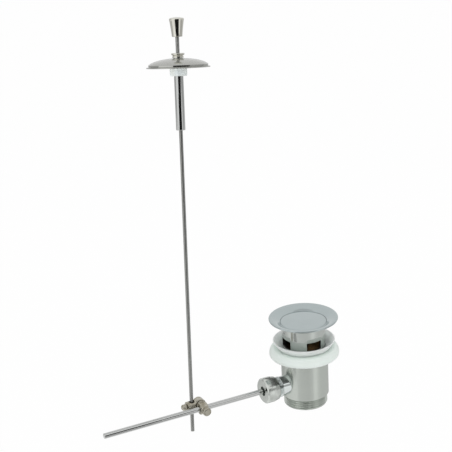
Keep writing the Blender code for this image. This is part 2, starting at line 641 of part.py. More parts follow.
def build_lift_rod(rod):
    """Lift rod with its tapered knob."""
    radius = ROD_D / 2
    nose = ROD_CHAMFER
    outline = [(0.0, ROD_END), (radius, ROD_END), (radius, nose - ROD_BELOW), (radius - nose, -ROD_BELOW)]
    turned("lift_rod", outline + [(0.0, -ROD_BELOW)], rod, "steel", ROD_STEPS)
    top = KNOB_TOP_D / 2
    base = KNOB_BASE_D / 2
    waist = KNOB_START + KNOB_HEIGHT - KNOB_CROWN
    outline = [(0.0, waist + KNOB_CROWN)] + arc(
        (top - KNOB_ROUND, waist), (KNOB_ROUND, KNOB_CROWN), KNOB_ROUND_START, KNOB_ROUND_END, 6)
    taper = waist - KNOB_CROWN - KNOB_START
    throat = top - KNOB_UNDERCUT
    for i in range(1, KNOB_STEPS + 1):
        share = 1 - i / KNOB_STEPS
        outline.append((base + (throat - base) * share ** KNOB_FLARE, KNOB_START + taper * share))
    bore = radius + CLEAR
    outline += [(bore, KNOB_START), (bore, KNOB_START + KNOB_SOCKET), (0.0, KNOB_START + KNOB_SOCKET)]
    turned("lift_knob", outline, rod, "satin_nickel", 24)


def build_rod_guide(rod):
    """Guide tube with its collar, bushes, cover plate, spacer and nut."""
    tube = TUBE_D / 2
    bore = tube - TUBE_WALL
    spigot = TUBE_SPIGOT_D / 2
    fit = tube + CLEAR
    outline = [(spigot, TUBE_END), (spigot, DOME_TOP), (tube, DOME_TOP), (tube, TUBE_START + TUBE_CHAMFER)]
    outline += [(tube - TUBE_CHAMFER, TUBE_START), (bore, TUBE_START), (bore, TUBE_END)]
    turned("guide_tube", outline, rod, "chrome")

    bush = bore - CLEAR
    hollow = bush - BUSH_WALL
    for name, low in (("guide_bush_lower", TUBE_START + CLEAR), ("guide_bush_upper", TUBE_END - CLEAR - BUSH_LENGTH)):
        outline = [(bush, low + BUSH_LENGTH), (bush, low), (hollow, low), (hollow, low + BUSH_LENGTH)]
        turned(name, outline, rod, "white_nylon", 24)

    socket = spigot + CLEAR
    base_top = COLLAR_START + COLLAR_BASE
    neck_top = base_top + COLLAR_NECK
    ceiling = TUBE_END + CLEAR
    outline = [(COLLAR_D / 2 - EDGE_BREAK, COLLAR_END), (COLLAR_D / 2, COLLAR_END - EDGE_BREAK)]
    outline += [(COLLAR_D / 2, neck_top), (COLLAR_NECK_D / 2, neck_top), (COLLAR_NECK_D / 2, base_top)]
    outline += [(COLLAR_BASE_D / 2, base_top), (COLLAR_BASE_D / 2, COLLAR_START), (socket, COLLAR_START)]
    outline += [(socket, ceiling), (hollow, ceiling), (hollow, COLLAR_END)]
    turned("guide_collar", outline, rod, "satin_nickel")

    dome = COVER_DOME_D / 2
    oval = dome / COVER_FULLNESS
    oval_rise = COVER_RISE / (1 - math.sqrt(1 - COVER_FULLNESS ** 2))
    start = math.degrees(math.acos((fit + CLEAR / 3) / oval))
    end = math.degrees(math.acos(COVER_FULLNESS))
    outline = arc((0.0, DOME_TOP - oval_rise), (oval, oval_rise), start, end, 6)
    outline += [(dome, LIP_UNDER + COVER_SHEET), (COVER_D / 2, LIP_UNDER + COVER_SHEET)]
    mesh = bpy.data.meshes.new("cover_plate")
    edges = [(i, i + 1) for i in range(len(outline) - 1)]
    mesh.from_pydata([(r, 0.0, z) for r, z in outline], edges, [])
    plate = add_part("cover_plate", mesh, rod, "satin_nickel")
    add_turn(plate, RING_STEPS)
    sheet = plate.modifiers.new("Sheet", "SOLIDIFY")
    sheet.thickness = COVER_SHEET
    sheet.offset = -1.0
    sheet.use_even_offset = True

    spacer = SPACER_D / 2
    under_dome = DOME_TOP - oval_rise * (1 - math.sqrt(1 - (spacer / oval) ** 2)) - COVER_SHEET - CLEAR
    low = NUT_END + CLEAR
    outline = [(spacer - EDGE_BREAK, under_dome), (spacer, under_dome - EDGE_BREAK), (spacer, low), (fit, low)]
    turned("cover_spacer", outline + [(fit, under_dome)], rod, "white_nylon")
    hex_nut("guide_nut", NUT_FLATS, NUT_START, NUT_END, fit, rod, "zinc")


def main():
    frames = make_frames()
    build_valve_cup(frames["waste"])
    build_plug(frames["waste"])
    build_seals(frames["waste"])
    build_tailpiece(frames["waste"], frames["port"])
    ball_seats(frames["port"])
    build_ball_nut(frames["port"])
    build_lever(frames["port"])
    build_lever_clamp(frames)
    build_rod_clamp(frames)
    build_lift_rod(frames["rod"])
    build_rod_guide(frames["rod"])


main()
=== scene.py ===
"""Looks of a pop-up basin waste: fine pieces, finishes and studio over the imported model.

The waste axis is Z, with the lever and its side port along -X. The origin lies in the plane
of the basin, under the flange. Lengths are in metres, written in millimetres times MM.
"""

import json
import math

import bmesh
import bpy
from mathutils import Matrix, Quaternion, Vector


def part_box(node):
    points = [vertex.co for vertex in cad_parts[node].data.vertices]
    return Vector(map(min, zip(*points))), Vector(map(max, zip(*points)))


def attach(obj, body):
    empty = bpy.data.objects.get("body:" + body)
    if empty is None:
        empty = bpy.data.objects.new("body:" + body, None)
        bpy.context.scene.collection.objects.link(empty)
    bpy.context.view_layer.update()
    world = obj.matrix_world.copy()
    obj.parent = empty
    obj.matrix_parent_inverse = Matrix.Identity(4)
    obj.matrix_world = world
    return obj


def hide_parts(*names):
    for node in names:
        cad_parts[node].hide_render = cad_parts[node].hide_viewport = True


bl_info = {
    "name": "Pop-up Basin Waste",
    "version": (1, 0, 0),
    "blender": (4, 5, 0),
    "location": "View3D > Sidebar > Basin Waste",
    "description": "Fine pieces, finishes and studio for a pop-up basin waste with its lift rod",
    "category": "Add Mesh",
}

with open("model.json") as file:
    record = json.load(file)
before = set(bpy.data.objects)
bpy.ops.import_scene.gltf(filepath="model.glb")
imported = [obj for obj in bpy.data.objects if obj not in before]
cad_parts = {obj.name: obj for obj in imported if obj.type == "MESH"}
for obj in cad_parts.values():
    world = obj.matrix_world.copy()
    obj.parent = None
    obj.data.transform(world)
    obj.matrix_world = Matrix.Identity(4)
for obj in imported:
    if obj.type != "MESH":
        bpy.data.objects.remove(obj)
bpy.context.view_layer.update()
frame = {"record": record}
BODIES = frame["record"]["behaviour"]["bodies"]

MM = 0.001
GAP = 0.3 * MM  # between pieces that seat on or run in each other
CRISP = 0.2 * MM  # rounding of a turned edge, and two softer ones
SOFT = 0.3 * MM
ROUND = 0.5 * MM
RIVET = 1.5 * MM  # radius of the rivet between the two clamps
BALL = 5 * MM  # radius of the lever's ball
SEAT = 7 * MM  # outer radius of the two rings that the ball turns in
FINE = 128  # sides of a turned piece
COARSE = 72  # sides of a small or hidden one
SHARP = math.radians(32)  # from this angle on, an edge is shown sharp


def shift(x=0.0, y=0.0, z=0.0):
    """A move, as a matrix."""
    return Matrix.Translation((x, y, z))


def about(axis, degrees):
    """A turn about one of the axes X, Y and Z, as a matrix."""
    return Matrix.Rotation(math.radians(degrees), 4, axis)


# Axes of the piece groups, at rest
WASTE_AXIS = Matrix()
LEVER_Z = -64.5 * MM
PORT_AXIS = shift(z=LEVER_Z) @ about("Y", -90)
CLAMP_OUT = 110.3 * MM
CLAMP_CENTRE = shift(-CLAMP_OUT, 0, LEVER_Z)
LEVER_SCREW_AXIS = CLAMP_CENTRE @ about("X", 90)
SWIVEL_CENTRE = CLAMP_CENTRE @ shift(z=1.6 * MM)
SWIVEL_AXIS = SWIVEL_CENTRE @ about("X", -90)
ARM_CENTRE = SWIVEL_CENTRE @ shift(y=8 * MM)
ARM_AXIS = ARM_CENTRE @ about("Y", -90)
ROD_HOLE_OUT = 7.75 * MM
GRIP = ARM_CENTRE @ shift(-ROD_HOLE_OUT)
ROD_LEAN = Vector((math.tan(math.radians(6.8)), math.tan(math.radians(11.8)), 1.0))
ROD_AXIS = GRIP @ ROD_LEAN.to_track_quat("Z", "Y").to_matrix().to_4x4()


# Shader maths


class Signal:
    """A socket that Python's operators can work on."""

    def __init__(self, tree, socket):
        self.tree = tree
        self.socket = socket

    def _maths(self, operation, first, second=0.0):
        return self.tree.node("ShaderNodeMath", {"operation": operation}, {0: first, 1: second})

    def __add__(self, other):
        return self._maths("ADD", self, other)

    def __sub__(self, other):
        return self._maths("SUBTRACT", self, other)

    def __mul__(self, other):
        return self._maths("MULTIPLY", self, other)

    def __pow__(self, other):
        return self._maths("POWER", self, other)

    def __rsub__(self, other):
        return self._maths("SUBTRACT", other, self)

    __radd__ = __add__
    __rmul__ = __mul__

    def largest(self, other):
        """The larger of two values."""
        return self._maths("MAXIMUM", self, other)


class ShaderTree:
    """Nodes of one material or world, added through one method."""

    def __init__(self, owner, axis=Matrix()):
        owner.use_nodes = True
        self.tree = owner.node_tree
        self.tree.nodes.clear()
        self.axis = axis

    def node(self, kind, settings=None, sockets=None, output=0):
        """Adds a node of a kind, sets it up, feeds its sockets and returns one output."""
        made = self.tree.nodes.new(kind)
        for key, value in (settings or {}).items():
            if key == "stops":
                self._set_stops(made.color_ramp, value)
            else:
                setattr(made, key, value)
        for key, value in (sockets or {}).items():
            if isinstance(value, Signal):
                self.tree.links.new(value.socket, made.inputs[key])
            else:
                made.inputs[key].default_value = value
        return Signal(self, made.outputs[output]) if made.outputs else None

    def _set_stops(self, ramp, stops):
        while len(ramp.elements) < len(stops):
            ramp.elements.new(0.5)
        for element, (place, shade) in zip(ramp.elements, stops):
            element.position = place
            element.color = shade

    def point(self, across=1.0, along=None):
        """Coordinates with the piece's axis as Z, times a number across and along it."""
        place = self.node("ShaderNodeTexCoord", output="Object")
        seat, tilt, _ = self.axis.decompose()
        shrink = (1 / across, 1 / across, 1 / (along or across))
        sockets = {"Vector": place, "Location": seat, "Rotation": tilt.to_euler(), "Scale": shrink}
        return self.node("ShaderNodeMapping", {"vector_type": "TEXTURE"}, sockets)

    def noise(self, across, along=None, detail=3.0):
        """Noise with so many cells to the metre, across and along the piece's axis."""
        sockets = {"Vector": self.point(across, along), "Scale": 1.0, "Detail": detail}
        return self.node("ShaderNodeTexNoise", sockets=sockets)

    def ramp(self, factor, stops):
        """Colours over a factor; a stop is its place and its colour."""
        return self.node("ShaderNodeValToRGB", {"stops": stops}, {0: factor})

    def blend(self, factor, first, second):
        """Colour between two colours."""
        settings = {"data_type": "RGBA"}
        return self.node("ShaderNodeMix", settings, {0: factor, 6: first, 7: second}, output=2)

    def bump(self, height, depth, strength=1.0):
        """A normal tilted by a height field, which is depth metres deep."""
        sockets = {"Height": height, "Distance": depth, "Strength": strength}
        return self.node("ShaderNodeBump", sockets=sockets)


def rgba(tint, level=1.0):
    """A colour with its alpha, made lighter or darker by a level."""
    return (tint[0] * level, tint[1] * level, tint[2] * level, 1.0)


def new_material(name, finish, *choices, axis=Matrix()):
    """A material with the Principled sockets that a finish returns for its choices."""
    material = bpy.data.materials.new(name)
    tree = ShaderTree(material, axis)
    surface = tree.node("ShaderNodeBsdfPrincipled", sockets=finish(tree, *choices))
    tree.node("ShaderNodeOutputMaterial", sockets={"Surface": surface})
    return material


def polished(tree, tint, dull=0.06):
    """Bright plating with faint smears and a slight orange peel."""
    smear = tree.noise(70, 45, 5.0)
    peel = tree.noise(420)
    return {
        "Base Color": tree.blend(smear, rgba(tint, 1.03), rgba(tint, 0.95)),
        "Metallic": 1.0,
        "Roughness": dull + smear ** 2 * 0.12,
        "Normal": tree.bump(peel, 0.01 * MM, 0.3),
    }


def dull_plate(tree, tint):
    """Plating over a surface that wasn't polished, with a soft mottle."""
    cloud = tree.noise(260, detail=4.0)
    pits = tree.noise(1100)
    return {
        "Base Color": tree.blend(cloud, rgba(tint, 1.15), rgba(tint, 0.80)),
        "Metallic": 1.0,
        "Roughness": 0.14 + cloud * 0.16,
        "Normal": tree.bump(pits + cloud, 0.03 * MM, 0.4),
    }


def turned_satin(tree, tint, dull, pitch=4200.0):
    """Plating over fine turning lines that run round the piece and blur along its axis."""
    lines = tree.noise(60, pitch, 2.0)
    bands = tree.noise(25, 420, 2.0)
    cloud = tree.noise(60, detail=4.0)
    return {
        "Base Color": tree.blend(lines * 0.5 + cloud * 0.5, rgba(tint, 1.05), rgba(tint, 0.93)),
        "Metallic": 1.0,
        "Roughness": dull + lines * 0.06 + bands * 0.06,
        "Anisotropic": 0.8,
        "Anisotropic Rotation": 0.25,
        "Normal": tree.bump(lines, 0.006 * MM, 0.5),
    }


def drawn_steel(tree, tint):
    """Wire drawn through a die, with hairlines along it."""
    lines = tree.noise(3800, 22, 2.0)
    cloud = tree.noise(90, 24, 4.0)
    return {
        "Base Color": tree.blend(lines * 0.4 + cloud * 0.6, rgba(tint, 1.12), rgba(tint, 0.84)),
        "Metallic": 1.0,
        "Roughness": 0.26 + lines * 0.14 + cloud * 0.06,
        "Normal": tree.bump(lines, 0.008 * MM, 0.6),
    }


def cast_nickel(tree, tint, brown_shade):
    """Thin plating over a small casting, with pits and brown painted shade in random patches."""
    pits = tree.noise(900)
    cloud = tree.noise(230, detail=4.0)
    # Random patches of the brown painted shade
    patch = tree.ramp(cloud, [(0.42, (0, 0, 0, 1)), (0.72, (1, 1, 1, 1))])
    return {
        "Base Color": tree.blend(patch * 0.7, rgba(tint, 1.05), rgba(brown_shade)),
        "Metallic": 1.0,
        "Roughness": 0.26 + cloud * 0.16 + pits * 0.06,
        "Normal": tree.bump(pits * 0.6 + cloud, 0.05 * MM, 0.5),
    }


def passivated_zinc(tree, tint, straw):
    """Bright zinc with the faint colours of its passivation."""
    film = tree.noise(160, detail=2.0)
    grain = tree.noise(1500, detail=2.0)
    return {
        "Base Color": tree.ramp(film, [(0.35, rgba(tint)), (0.7, rgba(straw))]),
        "Metallic": 0.35,
        "Roughness": 0.26 + grain * 0.14,
        "Normal": tree.bump(grain, 0.01 * MM, 0.15),
    }


def moulded(tree, tint, shade, dull, milky=0.0):
    """Rubber or plastic from a mould, a little mottled, and milky where light enters it."""
    cloud = tree.noise(80, detail=4.0)
    grain = tree.noise(1400, detail=2.0)
    return {
        "Base Color": tree.blend(cloud, rgba(tint), rgba(shade)),
        "Roughness": dull + cloud * 0.10,
        "Subsurface Weight": milky,
        "Subsurface Radius": (1.0, 1.0, 1.0),
        "Subsurface Scale": 8 * MM,
        "Normal": tree.bump(grain, 0.02 * MM, 0.4),
    }


# Mesh work


def softened(corners, steps=4):
    """Outline with rounded corners; a corner is (radius, height) or has its rounding as third."""
    points = []
    count = len(corners)
    for i, corner in enumerate(corners):
        here = Vector(corner[:2])
        if len(corner) == 2:
            points.append((here.x, here.y))
            continue
        before = Vector(corners[i - 1][:2]) - here
        after = Vector(corners[(i + 1) % count][:2]) - here
        half = before.angle(after) / 2
        reach = min(corner[2] / math.tan(half), 0.49 * before.length, 0.49 * after.length)
        middle = (before.normalized() + after.normalized()).normalized()
        centre = here + middle * (reach / math.cos(half))
        start = here + before.normalized() * reach - centre
        end = here + after.normalized() * reach - centre
        first = math.atan2(start.y, start.x)
        sweep = (math.atan2(end.y, end.x) - first + math.pi) % (2 * math.pi) - math.pi
        for k in range(steps + 1):
            turn = first + sweep * k / steps
            points.append((centre.x + start.length * math.cos(turn), centre.y + start.length * math.sin(turn)))
    return points


def arc(centre, radii, start, end, steps):
    """Points of an ellipse's arc, from start to end in degrees, both ends included."""
    turn = [math.radians(start + (end - start) * i / steps) for i in range(steps + 1)]
    return [(centre[0] + radii[0] * math.cos(a), centre[1] + radii[1] * math.sin(a)) for a in turn]


def curve(shape, first, last, steps):
    """Points of a shape at the shares first / steps to last / steps of its run."""
    return [shape(i / steps) for i in range(first, last + 1)]


def ladder(radius, high, low, step):
    """Points down a straight side, close enough together for a thread."""
    count = max(1, round((high - low) / step))
    return [(radius, high + (low - high) * i / count) for i in range(count + 1)]


def screw_thread(pitch, depth, low, high, run):
    """Ripple of a right-hand thread cut into the side, fading out over run at both ends."""

    def ripple(radius, z, turn):
        if not low < z < high:
            return radius
        fade = min(1.0, (z - low) / run, (high - z) / run)
        wave = 0.5 - 0.5 * math.cos(2 * math.pi * (z / pitch) - turn)
        return radius - depth * fade * wave

    return ripple


def knurl(ribs, depth, low, high):
    """Ripple of straight ribs on a head's side."""

    def ripple(radius, z, turn):
        if not low < z < high:
            return radius
        return radius - depth * (0.5 - 0.5 * math.cos(ribs * turn))

    return ripple


def turned(outline, steps=COARSE, ripple=None):
    """Mesh of an outline turned about Z; the outline closes on itself unless it starts on Z."""
    grid = bmesh.new()
    rings = []
    for radius, z in outline:
        if radius <= 0:
            rings.append([grid.verts.new((0, 0, z))])
            continue
        ring = []
        for i in range(steps):
            turn = 2 * math.pi * i / steps
            reach = ripple(radius, z, turn) if ripple else radius
            ring.append(grid.verts.new((reach * math.cos(turn), reach * math.sin(turn), z)))
        rings.append(ring)
    pairs = list(zip(rings, rings[1:]))
    if outline[0][0] > 0:
        pairs.append((rings[-1], rings[0]))
    for upper, lower in pairs:
        for i in range(steps):
            j = (i + 1) % steps
            ends = [upper[i % len(upper)], upper[j % len(upper)], lower[j % len(lower)], lower[i % len(lower)]]
            corners = list(dict.fromkeys(ends))
            if len(corners) > 2:
                grid.faces.new(corners)
    return shaded(grid)


def bar(radius, low, high, edge=0.0, steps=COARSE):
    """A round bar along Z; an edge rounds its ends."""
    outline = [(0.0, high), (radius, high), (radius, low), (0.0, low)]
    if edge:
        outline = softened([outline[0], (radius, high, edge), (radius, low, edge), outline[-1]])
    return turned(outline, steps)


def shaded(grid):
    """Mesh of a grid with its normals outward, smooth but for its sharp edges."""
    bmesh.ops.recalc_face_normals(grid, faces=grid.faces)
    for face in grid.faces:
        face.smooth = True
    for edge in grid.edges:
        edge.smooth = edge.calc_face_angle(0.0) < SHARP
    mesh = bpy.data.meshes.new("piece")
    grid.to_mesh(mesh)
    grid.free()
    return mesh


def block(low, high, edge=0.0):
    """A box with rounded edges."""
    grid = bmesh.new()
    size = Vector(high) - Vector(low)
    place = shift(*(Vector(high) + Vector(low)) / 2) @ Matrix.Diagonal((*size, 1.0))
    bmesh.ops.create_cube(grid, size=1.0, matrix=place)
    if edge:
        bmesh.ops.bevel(grid, geom=grid.edges[:], offset=edge, segments=4, profile=0.5, affect="EDGES")
    return shaded(grid)


def prism(flats, low, high):
    """A hexagon bar along Z."""
    grid = bmesh.new()
    radius = flats / math.sqrt(3)
    place = shift(z=(low + high) / 2)
    bmesh.ops.create_cone(grid, cap_ends=True, segments=6, radius1=radius, radius2=radius,
                          depth=high - low, matrix=place)
    return shaded(grid)


def new_object(name, data, place=Matrix()):
    """An object in the scene that holds a mesh, lamp or camera."""
    made = bpy.data.objects.new(name, data)
    bpy.context.scene.collection.objects.link(made)
    made.matrix_world = place
    return made


class Bench:
    """One piece in the making: steps are stacked on it as modifiers, then made real."""

    def __init__(self, mesh, place=Matrix()):
        self.place = place
        self.body = new_object("bench", mesh, place)
        self.tools = []

    def _boolean(self, operation, mesh, place):
        """Stacks a step with a tool that stands at a place, or where the piece is."""
        tool = new_object("tool", mesh, self.place if place is None else place)
        self.tools.append(tool)
        step = self.body.modifiers.new("Step", "BOOLEAN")
        step.operation = operation
        step.object = tool
        step.solver = "EXACT"
        return self

    def join(self, mesh, place=None):
        return self._boolean("UNION", mesh, place)

    def cut(self, mesh, place=None):
        return self._boolean("DIFFERENCE", mesh, place)

    def keep(self, mesh, place=None):
        return self._boolean("INTERSECT", mesh, place)

    def soften(self):
        """Melts the joined shapes into one casting with hollow corners."""
        melt = self.body.modifiers.new("Melt", "REMESH")
        melt.mode = "VOXEL"
        melt.voxel_size = 0.22 * MM
        flow = self.body.modifiers.new("Flow", "SMOOTH")
        flow.factor = 0.5
        flow.iterations = 8

    def break_edges(self, width):
        """Rounds the edges that the cuts left."""
        edge = self.body.modifiers.new("Edges", "BEVEL")
        edge.width = width
        edge.segments = 2
        edge.limit_method = "ANGLE"
        edge.angle_limit = math.radians(40)
        edge.use_clamp_overlap = True

    def done(self):
        """The piece's mesh, with the helpers cleared away."""
        graph = bpy.context.evaluated_depsgraph_get()
        made = bpy.data.meshes.new_from_object(self.body.evaluated_get(graph))
        for helper in (self.body, *self.tools):
            bpy.data.objects.remove(helper)
        grid = bmesh.new()
        grid.from_mesh(made)
        bpy.data.meshes.remove(made)
        return shaded(grid)


def place_piece(name, node, mesh, axis, material):
    """Puts a mesh where its node is, on the node's body and in its material slot."""
    mesh.transform(axis)
    mesh.name = name
    piece = new_object(name, mesh)
    mesh.materials.clear()
    mesh.materials.append(material)
    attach(piece, next(body for body, nodes in BODIES.items() if node in nodes))
    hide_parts(node)
    return piece


def refinish(piece, material, chosen):
    """Gives the faces that a test of their centre picks one more material."""
    piece.data.materials.append(material)
    for face in piece.data.polygons:
        if chosen(face.center):
            face.material_index = len(piece.data.materials) - 1


# Sizes, colours and settings


def length(name, value, description):
    return bpy.props.FloatProperty(name=name, description=description, default=value * MM, min=0.0,
                                   precision=4, subtype="DISTANCE", unit="LENGTH")


def angle(name, degrees, description):
    return bpy.props.FloatProperty(name=name, description=description, default=math.radians(degrees),
                                   subtype="ANGLE", unit="ROTATION")


def colour(name, value, description):
    return bpy.props.FloatVectorProperty(name=name, description=description, default=value,
                                         size=3, min=0.0, max=1.0, subtype="COLOR")


def position(name, value, description):
    return bpy.props.FloatVectorProperty(name=name, description=description, default=value,
                                         size=3, subtype="TRANSLATION", unit="LENGTH")


def power(name, value, description):
    return bpy.props.FloatProperty(name=name, description=description, default=value, min=0.0,
                                   subtype="POWER", unit="POWER")


def share(name, value, description):
    return bpy.props.FloatProperty(name=name, description=description, default=value, min=0.0, max=2.0,
                                   subtype="FACTOR")


class BasinFinishes(bpy.types.PropertyGroup):
    """Colours of the finishes"""

    chrome: colour("Chrome", (0.50, 0.56, 0.565), "Polished plate on the flange and plug")
    bright: colour("Bright chrome", (0.58, 0.59, 0.58), "Plate on the lever and guide tube")
    nut: colour("Ball nut plate", (0.65, 0.68, 0.645), "Unpolished plate on the ball nut")
    satin: colour("Satin nickel", (0.565, 0.60, 0.56), "Turned plate on the tailpiece")
    tube: colour("Tube chrome", (0.545, 0.577, 0.55), "Softer plate on the slotted tube")
    cover: colour("Cover plate", (0.51, 0.515, 0.49), "Turned plate on the cover")
    port: colour("Polished port", (0.69, 0.735, 0.725), "Plate on the side port")
    knob: colour("Polished nickel", (0.76, 0.75, 0.68), "Warm plate on knob and collar")
    # Near-black painted shade for the inside of the slotted tube and of the ball nut's pin holes
    inside: colour("Painted inside shade", (0.012, 0.009, 0.006), "Near-black painted shade inside the slotted tube and the nut's pin holes")
    casting: colour("Cast nickel", (0.50, 0.48, 0.41), "Thin plate on the clamp castings")
    # Brown painted shade, laid on the castings in random patches
    brown_shade: colour("Casting shade", (0.26, 0.23, 0.15), "Brown painted shade in random patches on the castings")
    zinc: colour("Zinc", (0.90, 0.97, 0.98), "Bright zinc on the hexagon nut")
    straw: colour("Zinc film", (0.92, 0.95, 0.90), "Warmer film on the zinc")
    steel: colour("Drawn steel", (0.36, 0.365, 0.35), "Lift rod")
    rubber: colour("White rubber", (0.80, 0.86, 0.83), "Seal under the basin")
    nylon: colour("White nylon", (0.74, 0.81, 0.765), "Cone washer and guides")
    black: colour("Black rubber", (0.02, 0.02, 0.02), "Ring on the plug")
    # Brass darkened to about half its own colour: painted shade on the stem, screw and lock nut inside the tube
    brass: colour("Brass in shade", (0.30, 0.19, 0.085), "Plug screw and lock nut")


class FlangeSizes(bpy.types.PropertyGroup):
    """Flange, slotted tube and plug"""

    diameter: length("Flange diameter", 66.0, "Across the rim")
    lip: length("Lip", 1.7, "Thickness of the rim")
    seat: length("Seat ring", 2.2, "Width of the flat ring that lies on the basin")
    dish: length("Dish", 3.9, "Depth from the rim's top to the plug's edge")
    tube: length("Tube diameter", 41.0, "Slotted tube")
    bore: length("Tube bore", 36.0, "Inside of the slotted tube")
    window_top: length("Window top", 17.0, "Below the basin plane")
    window_height: length("Window height", 8.5, "Overflow windows")
    window_width: length("Window width", 15.14, "Overflow windows, at the tube's outside")
    cap: length("Cap diameter", 43.8, "Plug")
    cap_crown: length("Cap crown", 0.5, "Rise of the plug's middle")
    cap_edge: length("Cap edge", 1.2, "Thickness of the plug's disc")


class BodySizes(bpy.types.PropertyGroup):
    """Seals, tailpiece and ball nut"""

    seal: length("Seal diameter", 59.3, "Rim of the white rubber cup")
    seal_rim: length("Seal rim", 1.4, "Thickness of the cup's rim")
    seal_foot: length("Seal foot", 51.0, "Diameter where the cup stands on the washer")
    washer: length("Washer diameter", 67.0, "White cone washer")
    tail: length("Tailpiece diameter", 45.0, "Smooth part of the body")
    thread: length("Thread diameter", 41.9, "Foot")
    thread_pitch: length("Thread pitch", 2.309, "Eleven turns to 25.4 mm")
    port: length("Port diameter", 19.8, "Threaded part of the side port")
    port_neck: length("Port neck", 19.0, "Polished part of the side port")
    nut: length("Ball nut diameter", 24.6, "Round cap nut")
    nut_length: length("Ball nut length", 13.6, "Along the port")
    nut_hole: length("Ball nut hole", 9.2, "Where the lever comes out")


class LinkSizes(bpy.types.PropertyGroup):
    """Lever, clamp, lift rod and cover"""

    lever: length("Lever diameter", 5.1, "Straight lever")
    lever_reach: length("Lever reach", 211.0, "From the waste axis to the lever's end")
    rod: length("Rod diameter", 3.4, "Lift rod")
    rod_hole: length("Rod hole", 5.8, "Wide hole in the clamp's arm")
    tube: length("Guide tube diameter", 8.5, "Below the cover")
    nut: length("Nut across flats", 15.1, "Hexagon nut under the cover")
    cover: length("Cover diameter", 58.5, "Across the lip")
    dome: length("Dome diameter", 54.6, "Inside the lip")
    knob_top: length("Knob top", 13.6, "Widest part")
    knob_base: length("Knob base", 9.6, "At the rod")
    knob_height: length("Knob height", 17.7, "Along the rod")


class StudioSettings(bpy.types.PropertyGroup):
    """Camera and lights"""

    eye: position("Camera", (-0.6460, -1.1554, 0.6093), "Where the camera stands")
    aim: position("Aim", (-0.04832, 0.05774, 0.08627), "What the camera looks at")
    roll: angle("Roll", -2.875, "Camera's turn about its view")
    lens: bpy.props.FloatProperty(name="Lens", description="Focal length on a 36 mm sensor",
                                  default=121.8, min=1.0, subtype="DISTANCE_CAMERA", unit="CAMERA")
    left_power: power("Left softbox", 3.0, "Power of the softbox on the left")
    right_power: power("Front softbox", 4.0, "Power of the softbox in front on the right")
    top_power: power("Top softbox", 4.0, "Power of the softbox overhead")
    ambient: share("Ambient", 0.70, "Level of the white surroundings on matt surfaces")
    floor: colour("Floor", (0.94, 0.94, 0.94), "Floor under the object")
    floor_drop: length("Floor drop", 48.0, "Room under the foot for lever and rod when they move down")
    floor_lift: share("Floor lift", 0.97, "How far the camera sees the floor as plain white")
    floor_gloss: share("Floor gloss", 0.7, "How far bright metal sees the floor as the room's tones")


# Pieces


class BASINWASTE_OT_valve_cup(bpy.types.Operator):
    """Dished flange and slotted tube"""

    bl_idname = "basinwaste.valve_cup"
    bl_label = "Flange and Slotted Tube"

    def execute(self, context):
        sizes = context.scene.basin_flange
        rim = sizes.diameter / 2
        edge = sizes.lip / 2
        cap_z = sizes.lip - sizes.dish
        recess = sizes.cap / 2 + 0.2 * MM
        seat = cap_z - sizes.cap_edge - GAP
        neck = recess + 1.2 * MM
        tube = sizes.tube / 2
        bore = sizes.bore / 2
        end = -52.0 * MM
        outline = arc((rim - edge, edge), (edge, edge), 80, -90, 12)
        corners = [(rim - edge - sizes.seat, 0.0, 0.8 * MM), (neck, seat - 0.2 * MM, 1.0 * MM)]
        corners += [(tube, seat - 2.0 * MM, 1.5 * MM), (tube, end, SOFT)]
        corners += [(bore, end, SOFT), (bore, seat - 1.6 * MM, 0.6 * MM), (bore + 1.6 * MM, seat, CRISP)]
        corners += [(recess, seat, SOFT), (recess, cap_z, 0.35 * MM), (recess + 2 * MM, cap_z + MM)]
        outline += softened([outline[-1]] + corners, 6)[1:-1]
        width = rim - edge - recess
        bend = 1.6  # 1 would make the dish a cone

        def dish(part):
            return recess + width * part, cap_z + sizes.dish * (1 - (1 - part) ** bend)

        outline += curve(dish, 2, 16, 16)
        bench = Bench(turned(outline, FINE))
        half = sizes.window_width / 2
        top = -sizes.window_top
        for i in range(4):
            window = block((-half, bore - 4 * MM, top - sizes.window_height), (half, tube + 2 * MM, top), 0.9 * MM)
            bench.cut(window, about("Z", 90 * i))
        bench.break_edges(0.18 * MM)
        finishes = context.scene.basin_finishes
        chrome = new_material("flange_chrome", polished, finishes.chrome)
        cup = place_piece("flange_and_slotted_tube", "valve_cup", bench.done(), WASTE_AXIS, chrome)
        # The tube's bore gets a near-black material: painted shade inside the tube
        inside_shade = new_material("tube_inside_shade", moulded, finishes.inside, finishes.inside, 0.7)
        softer = new_material("tube_chrome", polished, finishes.tube, 0.12)
        refinish(cup, softer, lambda spot: spot.z < seat - 2.0 * MM)
        refinish(cup, inside_shade, lambda spot: spot.z < seat and spot.xy.length < bore + 1.8 * MM)
        return {"FINISHED"}


